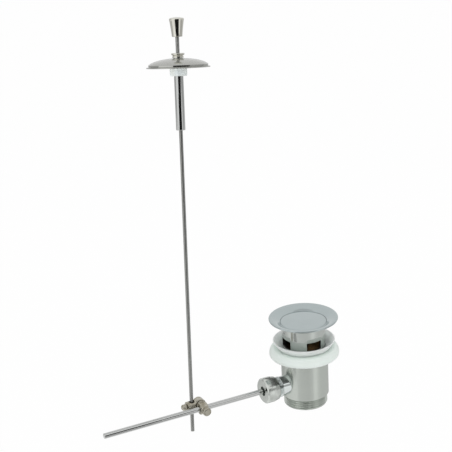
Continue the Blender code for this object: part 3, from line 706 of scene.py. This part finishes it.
class BASINWASTE_OT_plug(bpy.types.Operator):
    """Crowned cap, its rubber ring, the winged stem and the screw that sets its height"""

    bl_idname = "basinwaste.plug"
    bl_label = "Plug"

    def execute(self, context):
        sizes = context.scene.basin_flange
        finishes = context.scene.basin_finishes
        cap_z = sizes.lip - sizes.dish
        under = cap_z - sizes.cap_edge
        radius = sizes.cap / 2
        ring = 1.3 * MM
        ring_r = sizes.bore / 2 - GAP - ring
        hub = ring_r - ring - GAP
        low = under - 5.5 * MM
        screw = 3 * MM
        spigot = screw + GAP

        def crown(part):
            return (radius - 1.0 * MM) * part, cap_z + sizes.cap_crown * (1 - part ** 2)

        outline = curve(crown, 0, 11, 12)
        corners = [(radius, cap_z, 0.4 * MM), (radius, under, SOFT), (hub, under, SOFT)]
        corners += [(hub, low + 1.3 * MM, CRISP), (ring_r, low + 1.3 * MM, SOFT), (ring_r, low, SOFT)]
        corners += [(spigot, low, CRISP), (spigot, low + 4.2 * MM), (0.0, low + 4.2 * MM)]
        outline += softened([outline[-1]] + corners)[1:]
        chrome = new_material("cap_chrome", polished, finishes.chrome)
        place_piece("crowned_cap", "plug_cap", turned(outline, FINE), WASTE_AXIS, chrome)

        section = arc((ring_r, low + 1.3 * MM + GAP + ring), (ring, ring), 90, -270, 16)[:-1]
        black = new_material("ring_rubber", moulded, finishes.black, finishes.black, 0.45)
        place_piece("cap_rubber_ring", "plug_seal_ring", turned(section, FINE), WASTE_AXIS, black)

        top = low - GAP
        bottom = top - 31 * MM
        corners = [(0.0, low + 4.2 * MM - GAP), (screw, low + 4.2 * MM - GAP, SOFT), (screw, top, CRISP)]
        corners += [(4.5 * MM, top, 0.4 * MM), (4.5 * MM, bottom, 0.4 * MM), (0.0, bottom)]
        bench = Bench(turned(softened(corners)))
        reach = sizes.bore / 2 - 2 * GAP
        for i in range(2):
            wing = block((-reach, -MM, top - 24 * MM), (reach, MM, top - 4 * MM), 0.6 * MM)
            bench.join(wing, about("Z", 45 + 90 * i))
        bench.cut(bar(screw + GAP, bottom - MM, bottom + 11 * MM + GAP))
        # Brass darkened as painted shade for the parts inside the tube
        brass = new_material("plug_brass_in_shade", turned_satin, finishes.brass, 0.2)
        place_piece("winged_stem", "plug_stem", bench.done(), WASTE_AXIS, brass)

        tip = LEVER_Z + 2.55 * MM + 0.4 * MM
        nose_height = 1.8 * MM
        nose = tip + nose_height
        shank = ladder(screw, bottom + 10.4 * MM, nose, 0.1 * MM)
        outline = [(0.0, bottom + 11 * MM), (2.4 * MM, bottom + 11 * MM)] + shank
        outline += arc((0.0, nose), (screw, nose_height), -8, -82, 10) + [(0.0, tip)]
        ripple = screw_thread(MM, 0.6 * MM, nose, bottom + 10.4 * MM, 0.8 * MM)
        place_piece("height_screw", "plug_height_screw", turned(outline, COARSE, ripple), WASTE_AXIS, brass)
        nut = hexagon_nut(10 * MM, bottom - GAP - 5 * MM, bottom - GAP, screw + GAP, MM)
        place_piece("stem_lock_nut", "plug_lock_nut", nut, WASTE_AXIS, brass)
        return {"FINISHED"}


def hexagon_nut(flats, low, high, bore, pitch):
    """Hexagon nut with its corners turned off and a threaded bore."""
    corner = flats / math.sqrt(3)
    face = flats / 2 - 0.25 * MM
    past = corner + GAP
    drop = (past - face) * math.tan(math.radians(30))
    blank = [(0.0, high), (face, high), (past, high - drop), (past, low + drop), (face, low), (0.0, low)]
    flare = 0.6 * MM
    depth = pitch * 0.35
    hole = [(0.0, high + MM), (bore + MM + flare, high + MM), (bore + flare, high)]
    hole += ladder(bore + depth, high - flare, low + flare, pitch / 12)
    hole += [(bore + flare, low), (bore + MM + flare, low - MM), (0.0, low - MM)]
    ripple = screw_thread(pitch, depth, low + flare, high - flare, pitch / 2)
    bench = Bench(prism(flats, low - GAP, high + GAP))
    bench.keep(turned(blank, FINE)).cut(turned(hole, COARSE, ripple))
    return bench.done()


class BASINWASTE_OT_seals(bpy.types.Operator):
    """White rubber cup and white cone washer"""

    bl_idname = "basinwaste.seals"
    bl_label = "Seals"

    def execute(self, context):
        sizes = context.scene.basin_body
        finishes = context.scene.basin_finishes
        inner = context.scene.basin_flange.tube / 2 + GAP
        outer = sizes.seal / 2
        foot = sizes.seal_foot / 2
        rim = sizes.seal_rim / 2
        top = -20.9 * MM
        bottom = -28 * MM
        outline = arc((outer - rim, top - rim), (rim, rim), 90, -15, 10)
        corners = [outline[-1], (foot, bottom, ROUND), (inner, bottom, SOFT)]
        corners += [(inner, bottom + 1.6 * MM, SOFT), (foot - 1.9 * MM, bottom + 2 * MM, 2.5 * MM)]
        corners += [(outer - 2 * rim, top - rim)]
        outline += softened(corners, 6)[1:-1]
        outline += arc((outer - rim, top - rim), (rim, rim), 180, 90, 8)[:-1]
        rubber = new_material("cup_rubber", moulded, finishes.rubber, finishes.nylon, 0.42, 1.0)
        place_piece("rubber_cup_seal", "upper_seal", turned(outline, FINE), WASTE_AXIS, rubber)

        outer = sizes.washer / 2
        top = bottom - GAP
        bottom = top - 9.2 * MM
        waist = bottom + 2.6 * MM
        outline = arc((outer - 4.5 * MM, waist), (4.5 * MM, top - waist), 90, 0, 18)
        outline += arc((outer - 2.6 * MM, waist), (2.6 * MM, 2.6 * MM), 0, -90, 10)[1:]
        outline += softened([outline[-1], (inner, bottom, 0.4 * MM), (inner, top, 0.4 * MM), outline[0]])[1:-1]
        nylon = new_material("washer_nylon", moulded, finishes.nylon, finishes.rubber, 0.38, 0.5)
        place_piece("cone_washer", "lower_washer", turned(outline, FINE), WASTE_AXIS, nylon)
        return {"FINISHED"}


class BASINWASTE_OT_tailpiece(bpy.types.Operator):
    """Turned body with its threaded foot and side port"""

    bl_idname = "basinwaste.tailpiece"
    bl_label = "Tailpiece"

    def execute(self, context):
        sizes = context.scene.basin_body
        outer = sizes.tail / 2
        thread = sizes.thread / 2
        top = -37.8 * MM
        bottom = -87.4 * MM
        foot = bottom + 10.5 * MM
        step = sizes.thread_pitch / 16
        corners = [(0.0, top), (outer, top, ROUND), (outer, foot, 0.25 * MM), (thread - 0.5 * MM, foot)]
        outline = softened(corners)
        outline += ladder(thread, foot - 0.5 * MM, bottom + 0.9 * MM, step)
        outline += [(thread - 0.9 * MM, bottom), (0.0, bottom)]
        ripple = screw_thread(sizes.thread_pitch, 1.4 * MM, bottom + 0.4 * MM, foot - 0.5 * MM, 0.7 * MM)
        bench = Bench(turned(outline, FINE, ripple))

        port = sizes.port / 2
        neck = sizes.port_neck / 2
        end = 40.5 * MM
        run = 28.6 * MM
        outline = [(0.0, end), (port - 0.6 * MM, end)] + ladder(port, end - 0.6 * MM, run, 0.12 * MM)
        outline += [(neck, run - 0.4 * MM), (neck, 9 * MM), (0.0, 9 * MM)]
        ripple = screw_thread(1.4 * MM, 0.7 * MM, run, end - 0.6 * MM, 0.4 * MM)
        bench.join(turned(outline, FINE, ripple), PORT_AXIS)

        socket = context.scene.basin_flange.tube / 2 + GAP
        bore = 18.5 * MM
        shoulder = -52.3 * MM
        passage = [(0.0, top + MM), (socket + 1.4 * MM, top + MM), (socket, top - 0.4 * MM), (socket, shoulder)]
        passage += [(bore, shoulder), (bore, bottom + 0.4 * MM), (bore + 1.4 * MM, bottom - MM), (0.0, bottom - MM)]
        bench.cut(turned(passage, FINE))
        seat = SEAT + GAP
        drilling = [(0.0, end + MM), (seat, end + MM), (seat, 31.2 * MM), (6.2 * MM, 31.2 * MM)]
        drilling += [(6.2 * MM, 0.0), (0.0, 0.0)]
        bench.cut(turned(drilling), PORT_AXIS)
        finishes = context.scene.basin_finishes
        satin = new_material("tailpiece_satin", turned_satin, finishes.satin, 0.16)
        body = place_piece("turned_tailpiece", "tailpiece", bench.done(), WASTE_AXIS, satin)
        chrome = new_material("port_chrome", polished, finishes.port, 0.05, axis=PORT_AXIS)
        refinish(body, chrome, lambda spot: spot.xy.length > outer + 0.1 * MM)
        plain = new_material("thread_plate", polished, finishes.satin, 0.14)
        refinish(body, plain, lambda spot: spot.z < foot and spot.xy.length > thread - 2 * MM)
        return {"FINISHED"}


class BASINWASTE_OT_ball_joint(bpy.types.Operator):
    """Ball, its two seats and the round nut over them"""

    bl_idname = "basinwaste.ball_joint"
    bl_label = "Ball Joint"

    def execute(self, context):
        sizes = context.scene.basin_body
        finishes = context.scene.basin_finishes
        middle = 36 * MM
        hollow = 5.3 * MM
        nylon = new_material("seat_nylon", moulded, finishes.nylon, finishes.rubber, 0.4)
        inner = [(SEAT, middle - MM), (SEAT, middle - 4.5 * MM), (3.8 * MM, middle - 4.5 * MM)]
        inner += arc((0.0, middle), (hollow, hollow), -44.2, -10.9, 12)
        place_piece("inner_ball_seat", "ball_seat_inner", turned(inner), PORT_AXIS, nylon)
        ledge = 40.8 * MM
        opening = sizes.nut_hole / 2
        mouth = math.degrees(math.acos(opening / hollow))
        outer = [(9.8 * MM, ledge + 3 * MM), (9.8 * MM, ledge), (SEAT, ledge), (SEAT, middle + MM)]
        outer += arc((0.0, middle), (hollow, hollow), 10.9, mouth, 12) + [(opening, ledge + 3 * MM)]
        place_piece("outer_ball_seat", "ball_seat_outer", turned(outer), PORT_AXIS, nylon)
        lever = context.scene.basin_link.lever / 2 + GAP
        tilt = math.degrees(math.acos(lever / BALL))
        ball = arc((0.0, middle), (BALL, BALL), tilt, -tilt, 24)
        place_piece("lever_ball_joint", "lever_ball", turned(ball), PORT_AXIS, nylon)

        face = 46.5 * MM
        inside = face - 2.4 * MM
        radius = sizes.nut / 2
        fit = sizes.port / 2 + GAP
        back = face - sizes.nut_length
        corners = [(opening, face, SOFT), (radius - 1.3 * MM, face, CRISP)]
        corners += [(radius, face - 1.3 * MM, ROUND), (radius, back + 5 * MM, ROUND)]
        corners += [(radius - 1.1 * MM, back, SOFT), (fit, back), (fit, inside), (opening, inside)]
        bench = Bench(turned(softened(corners), FINE), PORT_AXIS)
        pin_hole = 1.4 * MM
        pin_hole_out = 9.3 * MM
        pin_hole_turns = (123.4, 303.4)
        for degrees in pin_hole_turns:
            aside = PORT_AXIS @ about("Z", degrees) @ shift(pin_hole_out)
            bench.cut(bar(pin_hole, face - 2 * MM, face + MM, steps=32), aside)
        dull = new_material("nut_plate", dull_plate, finishes.nut, axis=PORT_AXIS)
        nut = place_piece("round_ball_nut", "ball_nut", bench.done(), PORT_AXIS, dull)
        # The pin holes get a near-black material: painted shade inside them
        inside_shade = new_material("pin_hole_shade", moulded, finishes.inside, finishes.inside, 0.6)
        refinish(nut, inside_shade, lambda spot: inside < -spot.x < face - 0.1 * MM
                 and opening + MM < math.hypot(spot.y, spot.z - LEVER_Z) < radius - 1.5 * MM)
        return {"FINISHED"}


class BASINWASTE_OT_lever(bpy.types.Operator):
    """Straight lever"""

    bl_idname = "basinwaste.lever"
    bl_label = "Lever"

    def execute(self, context):
        sizes = context.scene.basin_link
        plate = context.scene.basin_finishes.bright
        chrome = new_material("lever_chrome", polished, plate, 0.12, axis=PORT_AXIS)
        lever = bar(sizes.lever / 2, -2 * MM, sizes.lever_reach, 0.8 * MM)
        place_piece("straight_lever", "lever_rod", lever, PORT_AXIS, chrome)
        return {"FINISHED"}


def thumb_screw(shank, head, height, tip, seat, ribs):
    """Screw with a crowned head, fine ribs round its side and a thread on its shank."""
    crown = height * 0.35
    top = seat + height
    outline = [(0.0, top), (head * 0.35, top - crown * 0.06)]
    outline += arc((head / 2 - crown, top - crown), (crown, crown), 80, 0, 8)
    outline += ladder(head / 2, top - crown - 0.05 * MM, seat + 0.5 * MM, 0.25 * MM)[1:]
    outline += [(head / 2 - 0.4 * MM, seat), (shank / 2, seat)]
    outline += ladder(shank / 2, seat - 0.1 * MM, tip + 0.3 * MM, 0.08 * MM)
    outline += [(shank / 2 - 0.4 * MM, tip), (0.0, tip)]
    rib = knurl(ribs, 0.22 * MM, seat + 0.45 * MM, top - crown)
    cut = screw_thread(0.7 * MM, 0.4 * MM, tip, seat, 0.4 * MM)

    def ripple(radius, z, turn):
        return rib(radius, z, turn) if z > seat else cut(radius, z, turn)

    return turned(outline, ribs * 8, ripple)


class BASINWASTE_OT_lever_clamp(bpy.types.Operator):
    """Eye that slides on the lever, its screw and the rivet that the rod clamp swivels on"""

    bl_idname = "basinwaste.lever_clamp"
    bl_label = "Lever Clamp"

    def execute(self, context):
        finishes = context.scene.basin_finishes
        lever = context.scene.basin_link.lever / 2
        casting = new_material("lever_clamp_casting", cast_nickel, finishes.casting, finishes.brown_shade)
        half = 3.8 * MM
        face = 4.2 * MM
        eye = 5.3 * MM
        boss = 3.7 * MM
        boss_end = 6 * MM
        hub = 4.6 * MM
        shank = 1.9 * MM
        bench = Bench(bar(eye, CLAMP_OUT - half, CLAMP_OUT + half), PORT_AXIS)
        bench.join(bar(boss, 0.0, boss_end), LEVER_SCREW_AXIS)
        bench.join(bar(hub, lever, 8 * MM), SWIVEL_AXIS)
        bench.soften()
        bench.cut(block((-8 * MM, face, -11 * MM), (8 * MM, 12 * MM, 11 * MM)), CLAMP_CENTRE)
        bench.cut(bar(lever + GAP, CLAMP_OUT - 12 * MM, CLAMP_OUT + 12 * MM), PORT_AXIS)
        bench.cut(bar(shank + GAP, 0.0, 10 * MM), LEVER_SCREW_AXIS)
        bench.cut(bar(RIVET + GAP, 3 * MM, 8 * MM), SWIVEL_AXIS)
        place_piece("sliding_eye", "lever_clamp", bench.done(), PORT_AXIS, casting)

        seat = face + GAP + 7 * MM + GAP
        outline = [(0.0, seat + 1.2 * MM)] + arc((1.3 * MM, seat), (1.3 * MM, 1.2 * MM), 85, 5, 8)
        outline += [(2.6 * MM, seat), (RIVET, seat), (RIVET, 3.3 * MM), (0.0, 3.3 * MM)]
        place_piece("eye_rivet", "swivel_rivet", turned(outline), SWIVEL_AXIS, casting)
        screw = thumb_screw(2 * shank, 8.2 * MM, 4 * MM, lever + GAP, boss_end + GAP, 20)
        place_piece("lever_thumb_screw", "lever_clamp_screw", screw, LEVER_SCREW_AXIS, casting)
        return {"FINISHED"}


class BASINWASTE_OT_rod_clamp(bpy.types.Operator):
    """Arm with the wide hole for the lift rod, and its screw"""

    bl_idname = "basinwaste.rod_clamp"
    bl_label = "Rod Clamp"

    def execute(self, context):
        finishes = context.scene.basin_finishes
        sizes = context.scene.basin_link
        casting = new_material("rod_clamp_casting", cast_nickel, finishes.casting, finishes.brown_shade)
        near = 4.5 * MM
        hub = 5.5 * MM
        arm = 4.5 * MM
        arm_end = 13 * MM
        shank = 1.7 * MM
        bench = Bench(bar(hub, near, near + 7 * MM), SWIVEL_AXIS)
        bench.join(bar(arm, 3.2 * MM, arm_end), ARM_AXIS)
        bench.soften()
        bench.cut(block((-5 * MM, -9 * MM, -9 * MM), (11 * MM, near, 9 * MM)), CLAMP_CENTRE)
        bench.cut(bar(RIVET + GAP, 0.0, 18 * MM), SWIVEL_AXIS)
        bench.cut(bar(sizes.rod_hole / 2, -9 * MM, 9 * MM), GRIP)
        bench.cut(bar(shank + GAP, ROD_HOLE_OUT, 22 * MM), ARM_AXIS)
        place_piece("rod_arm", "rod_clamp", bench.done(), SWIVEL_AXIS, casting)
        tip = ROD_HOLE_OUT + sizes.rod / 2 * ROD_LEAN.length + GAP
        screw = thumb_screw(2 * shank, 5.8 * MM, 4.6 * MM, tip, arm_end + GAP, 16)
        place_piece("rod_thumb_screw", "rod_clamp_screw", screw, ARM_AXIS, casting)
        return {"FINISHED"}


class BASINWASTE_OT_lift_rod(bpy.types.Operator):
    """Lift rod and its tapered knob"""

    bl_idname = "basinwaste.lift_rod"
    bl_label = "Lift Rod and Knob"

    def execute(self, context):
        sizes = context.scene.basin_link
        finishes = context.scene.basin_finishes
        knob_start = 343.2 * MM
        rod_end = knob_start + 11.3 * MM
        steel = new_material("rod_steel", drawn_steel, finishes.steel, axis=ROD_AXIS)
        rod = bar(sizes.rod / 2, -24.8 * MM, rod_end, ROUND)
        place_piece("drawn_lift_rod", "lift_rod", rod, ROD_AXIS, steel)

        top = sizes.knob_top / 2
        base = sizes.knob_base / 2
        high = knob_start + sizes.knob_height
        outline = [(0.0, high), (top * 0.4, high - 0.15 * MM), (top * 0.75, high - 0.6 * MM)]
        outline += arc((top - 1.1 * MM, high - 1.9 * MM), (1.1 * MM, 1.1 * MM), 75, -20, 8)
        waist = high - 2.6 * MM
        bend = 1.25  # 1 would make the side straight

        def side(part):
            flare = (top - 0.15 * MM - base) * (1 - part) ** bend
            return base + flare, waist + (knob_start + 0.3 * MM - waist) * part

        outline += curve(side, 1, 24, 24)
        bore = sizes.rod / 2 + GAP
        outline += [(base - 0.3 * MM, knob_start), (bore, knob_start), (bore, knob_start + 11.6 * MM)]
        outline += [(0.0, knob_start + 11.6 * MM)]
        nickel = new_material("knob_nickel", polished, finishes.knob, 0.07, axis=ROD_AXIS)
        place_piece("tapered_knob", "lift_knob", turned(outline, FINE), ROD_AXIS, nickel)
        return {"FINISHED"}


class BASINWASTE_OT_rod_guide(bpy.types.Operator):
    """Guide tube, its bushes and collar, and the hexagon nut"""

    bl_idname = "basinwaste.rod_guide"
    bl_label = "Rod Guide"

    def execute(self, context):
        sizes = context.scene.basin_link
        finishes = context.scene.basin_finishes
        low = 258.3 * MM
        high = 326.9 * MM
        tube = sizes.tube / 2
        bore = tube - MM
        chrome = new_material("guide_chrome", polished, finishes.bright, axis=ROD_AXIS)
        nylon = new_material("bush_nylon", moulded, finishes.nylon, finishes.rubber, 0.4)
        spigot = tube - 0.35 * MM
        shoulder = 323.9 * MM
        corners = [(spigot, high), (spigot, shoulder), (tube, shoulder), (tube, low, 0.6 * MM)]
        corners += [(bore, low, SOFT), (bore, high)]
        place_piece("chromed_guide_tube", "guide_tube", turned(softened(corners)), ROD_AXIS, chrome)
        bush = bore - GAP
        hollow = bush - 0.95 * MM
        for name, node, start in (("lower_bush", "guide_bush_lower", low + GAP),
                                  ("upper_bush", "guide_bush_upper", high - GAP - 8 * MM)):
            corners = [(bush, start + 8 * MM, 0.15 * MM), (bush, start, 0.15 * MM), (hollow, start, 0.15 * MM)]
            corners += [(hollow, start + 8 * MM, 0.15 * MM)]
            place_piece(name, node, turned(softened(corners)), ROD_AXIS, nylon)

        start = 324.2 * MM
        end = 328.4 * MM
        socket = spigot + GAP
        corners = [(6.05 * MM, end, 0.45 * MM), (6.05 * MM, end - 1.4 * MM, 0.45 * MM)]
        corners += [(4.8 * MM, end - 2.1 * MM, 0.4 * MM), (4.8 * MM, start + 1.6 * MM, SOFT)]
        corners += [(5.25 * MM, start + 1.2 * MM, SOFT), (5.25 * MM, start, CRISP), (socket, start)]
        corners += [(socket, high + GAP), (hollow, high + GAP), (hollow, end, ROUND)]
        nickel = new_material("collar_nickel", polished, finishes.knob, 0.05, axis=ROD_AXIS)
        place_piece("flanged_collar", "guide_collar", turned(softened(corners), FINE), ROD_AXIS, nickel)
        nut = hexagon_nut(sizes.nut, 307.8 * MM, 315.2 * MM, tube + GAP, MM)
        zinc = new_material("nut_zinc", passivated_zinc, finishes.zinc, finishes.straw, axis=ROD_AXIS)
        place_piece("zinc_hexagon_nut", "guide_nut", nut, ROD_AXIS, zinc)
        return {"FINISHED"}


class BASINWASTE_OT_cover(bpy.types.Operator):
    """Domed cover with its thin lip, and the ring that holds it up"""

    bl_idname = "basinwaste.cover"
    bl_label = "Cover Plate"

    def execute(self, context):
        sizes = context.scene.basin_link
        finishes = context.scene.basin_finishes
        sheet = 0.8 * MM
        lip = 315.2 * MM
        fullness = 0.968
        dome = sizes.dome / 2
        oval = dome / fullness
        high = 5.9 * MM / (1 - math.sqrt(1 - fullness ** 2))
        centre = 323.9 * MM - high
        hole = sizes.tube / 2 + GAP + 0.1 * MM
        wide = math.degrees(math.acos(fullness))
        near = math.degrees(math.acos(hole / oval))
        upper = arc((0.0, centre), (oval, high), near, wide, 40)
        lower = arc((0.0, centre), (oval - sheet, high - sheet), wide, near, 40)
        edge = [upper[-1], (dome, lip + sheet + 0.6 * MM), (dome - 0.35 * MM, lip + sheet + 0.15 * MM, 0.15 * MM)]
        edge += [(dome, lip + sheet, 0.1 * MM), (sizes.cover / 2, lip + sheet, 0.35 * MM)]
        edge += [(sizes.cover / 2, lip, SOFT), (dome - sheet, lip, 0.4 * MM), lower[0]]
        satin = new_material("cover_satin", turned_satin, finishes.cover, 0.10, 2600.0, axis=ROD_AXIS)
        outline = upper[:-1] + softened(edge, 6) + lower[1:]
        place_piece("domed_cover", "cover_plate", turned(outline, FINE), ROD_AXIS, satin)

        ring = 9 * MM
        under = centre + high * math.sqrt(1 - (ring / oval) ** 2) - sheet - GAP
        fit = sizes.tube / 2 + GAP
        corners = [(ring, under, ROUND), (ring, lip + GAP, CRISP), (fit, lip + GAP), (fit, under)]
        nylon = new_material("spacer_nylon", moulded, finishes.nylon, finishes.rubber, 0.4)
        place_piece("cover_ring", "cover_spacer", turned(softened(corners)), ROD_AXIS, nylon)
        return {"FINISHED"}


class BASINWASTE_OT_studio(bpy.types.Operator):
    """Floor, softboxes, flags, surroundings and camera"""

    bl_idname = "basinwaste.studio"
    bl_label = "Studio"

    def execute(self, context):
        settings = context.scene.basin_studio
        self.make_world(context.scene, settings)
        self.make_floor(settings)
        self.make_lights(settings)
        self.make_flags()
        self.make_camera(context.scene, settings)
        context.scene.view_settings.view_transform = "Standard"
        return {"FINISHED"}

    # What bright metal sees in the floor: azimuth, level
    floor_levels = (
        (-90, 1.0), (-70, 1.0), (-60, 0.74), (-12, 0.66), (6, 0.76), (14, 1.0), (24, 1.0), (36, 0.78),
        (50, 0.68), (85, 0.66), (103, 0.56), (150, 0.45), (208, 0.45), (226, 0.65), (245, 0.95), (270, 1.0),
    )

    def make_world(self, scene, settings):
        """White surroundings, less bright for matt surfaces."""
        scene.world = bpy.data.worlds.new("white_surroundings")
        tree = ShaderTree(scene.world)
        seen = tree.node("ShaderNodeLightPath", output="Is Camera Ray")
        glossy = tree.node("ShaderNodeLightPath", output="Is Glossy Ray")
        through = tree.node("ShaderNodeLightPath", output="Is Transmission Ray")
        direct = seen.largest(glossy).largest(through)
        level = direct + (1 - direct) * settings.ambient
        sockets = {"Color": (1.0, 1.0, 1.0, 1.0), "Strength": level}
        surface = tree.node("ShaderNodeBackground", sockets=sockets)
        tree.node("ShaderNodeOutputWorld", sockets={"Surface": surface})

    def make_sheet(self, name, place, size):
        """A flat object, and the nodes of its material."""
        grid = bmesh.new()
        bmesh.ops.create_grid(grid, x_segments=1, y_segments=1, size=0.5,
                              matrix=place @ Matrix.Diagonal((*size, 1, 1)))
        sheet = new_object(name, shaded(grid))
        material = bpy.data.materials.new(name)
        sheet.data.materials.append(material)
        return sheet, ShaderTree(material)

    def make_floor(self, settings):
        """Floor that the camera sees as white, and bright metal as a room with darker sides."""
        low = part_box("tailpiece")[0][2] - settings.floor_drop
        floor, tree = self.make_sheet("studio_floor", shift(z=low), (12.0, 12.0))
        paper = tree.blend(tree.noise(40), rgba(settings.floor), rgba(settings.floor, 0.985))
        matt = tree.node("ShaderNodeBsdfDiffuse", sockets={"Color": paper})
        seen = tree.node("ShaderNodeLightPath", output="Is Camera Ray")
        glossy = tree.node("ShaderNodeLightPath", output="Is Glossy Ray")
        around = tree.node("ShaderNodeTexGradient", {"gradient_type": "RADIAL"}, {"Vector": tree.point()}, output=1)
        stops = [((azimuth + 90) / 360, rgba((level, level, level))) for azimuth, level in self.floor_levels]
        tone = tree.blend(seen, tree.ramp(around, stops), (1.0, 1.0, 1.0, 1.0))
        white = tree.node("ShaderNodeEmission", sockets={"Color": tone, "Strength": 1.0})
        lift = seen * settings.floor_lift + glossy * settings.floor_gloss
        surface = tree.node("ShaderNodeMixShader", sockets={0: lift, 1: matt, 2: white})
        tree.node("ShaderNodeOutputMaterial", sockets={"Surface": surface})

    def around(self, azimuth, distance, height):
        """A place round the object, with azimuth 0 in front of it (-Y) and 90 to its right."""
        turn = math.radians(azimuth)
        return Vector((math.sin(turn) * distance, -math.cos(turn) * distance, height))

    def stand(self, holder, start, target, roll=0.0):
        """Stands a lamp or camera at a start and turns it to a target."""
        turn = (target - start).to_track_quat("-Z", "Y")
        holder.location = start
        holder.rotation_mode = "QUATERNION"
        holder.rotation_quaternion = turn @ Quaternion((0, 0, 1), roll)

    def make_lights(self, settings):
        """Softboxes that light what is matt and leave bright metal alone."""
        # Name, azimuth, distance, height, width, depth, power
        boxes = (
            ("left_softbox", -80, 1.5, 0.45, 0.9, 0.9, settings.left_power),
            ("right_softbox", 15, 1.5, 0.40, 0.9, 0.8, settings.right_power),
            ("top_softbox", -10, 0.3, 1.7, 1.4, 1.4, settings.top_power),
        )
        middle = Vector((-0.05, 0.03, 0.08))
        for name, azimuth, distance, height, width, depth, watts in boxes:
            lamp = bpy.data.lights.new(name, "AREA")
            lamp.shape = "RECTANGLE"
            lamp.size = width
            lamp.size_y = depth
            lamp.energy = watts
            holder = new_object(name, lamp)
            holder.visible_glossy = False
            self.stand(holder, self.around(azimuth, distance, height), middle)

    def make_flags(self):
        """Cards that only bright metal sees, each with the level that it shows."""
        # Name, azimuth, distance, bottom, top, width, level
        upright = (
            ("front_flag", -24, 1.25, -0.08, 0.33, 1.62, 0.012),
            ("upper_front_flag", -15, 1.25, 0.33, 1.0, 1.70, 0.012),
            ("right_flag", 66, 1.1, -0.08, 0.2, 1.1, 0.44),
            ("upper_right_flag", 54, 1.6, 0.2, 0.9, 3.1, 0.46),
            ("left_flag", -134, 1.6, -0.08, 0.9, 1.6, 0.50),
            ("back_flag", 151, 2.6, 0.0, 1.5, 6.0, 0.83),
        )
        for name, azimuth, distance, low, high, width, level in upright:
            place = shift(*self.around(azimuth, distance, (low + high) / 2))
            self.make_card(name, place @ about("Z", azimuth) @ about("X", 90), (width, high - low), level)
        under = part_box("lower_washer")[0][2] - 0.5 * MM
        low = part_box("tailpiece")[0][2]
        # washer_shade and lever_shade are dark sheets that put painted shade into what bright metal reflects: the
        # shadow under the washer and the lever's shadow on the floor
        # Name, place, turn, size, level
        flat = (
            ("ceiling_flag", (0.72, 1.30, 1.50), -29, (6.0, 3.9), 0.83),
            ("zenith_flag", (0.0, 0.05, 1.30), -29, (1.5, 0.42), 0.64),
            ("washer_shade", (-7 * MM, 11 * MM, under), 0, (54 * MM, 78 * MM), 0.15),
            ("lever_shade", (-170 * MM, -39 * MM, low), 0, (130 * MM, 42 * MM), 0.42),
        )
        for name, spot, degrees, size, level in flat:
            self.make_card(name, shift(*spot) @ about("Z", degrees), size, level)

    def make_card(self, name, place, size, level):
        """One such card."""
        card, tree = self.make_sheet(name, place, size)
        glow = tree.node("ShaderNodeEmission", sockets={"Color": (1, 1, 1, 1), "Strength": level})
        tree.node("ShaderNodeOutputMaterial", sockets={"Surface": glow})
        card.visible_camera = False
        card.visible_diffuse = False
        card.visible_shadow = False

    def make_camera(self, scene, settings):
        """Camera that stands where the photo was taken."""
        camera = bpy.data.cameras.new("photo_camera")
        camera.lens = settings.lens
        camera.sensor_width = 36.0
        camera.clip_start = 0.05
        camera.clip_end = 50.0
        scene.camera = new_object("photo_camera", camera)
        self.stand(scene.camera, Vector(settings.eye), Vector(settings.aim), settings.roll)


class BASINWASTE_PT_panel(bpy.types.Panel):
    """Lists the pieces and the studio"""

    bl_idname = "BASINWASTE_PT_panel"
    bl_label = "Basin Waste"
    bl_space_type = "VIEW_3D"
    bl_region_type = "UI"
    bl_category = "Basin Waste"

    def draw(self, context):
        column = self.layout.column(align=True)
        for operator in STEPS:
            column.operator(operator.bl_idname)
        for name in SETTINGS:
            box = self.layout.box()
            settings = getattr(context.scene, name)
            for key in settings.bl_rna.properties.keys():
                if key not in ("rna_type", "name"):
                    box.prop(settings, key)


SETTINGS = {
    "basin_finishes": BasinFinishes,
    "basin_flange": FlangeSizes,
    "basin_body": BodySizes,
    "basin_link": LinkSizes,
    "basin_studio": StudioSettings,
}
STEPS = (
    BASINWASTE_OT_valve_cup,
    BASINWASTE_OT_plug,
    BASINWASTE_OT_seals,
    BASINWASTE_OT_tailpiece,
    BASINWASTE_OT_ball_joint,
    BASINWASTE_OT_lever,
    BASINWASTE_OT_lever_clamp,
    BASINWASTE_OT_rod_clamp,
    BASINWASTE_OT_lift_rod,
    BASINWASTE_OT_rod_guide,
    BASINWASTE_OT_cover,
    BASINWASTE_OT_studio,
)


def register():
    for kind in (*SETTINGS.values(), *STEPS, BASINWASTE_PT_panel):
        bpy.utils.register_class(kind)
    for name, kind in SETTINGS.items():
        setattr(bpy.types.Scene, name, bpy.props.PointerProperty(type=kind))


def unregister():
    for name in SETTINGS:
        delattr(bpy.types.Scene, name)
    for kind in (BASINWASTE_PT_panel, *STEPS, *SETTINGS.values()):
        bpy.utils.unregister_class(kind)


def main():
    register()
    for operator in STEPS:
        group, name = operator.bl_idname.split(".")
        getattr(getattr(bpy.ops, group), name)()


if __name__ == "__main__":
    main()
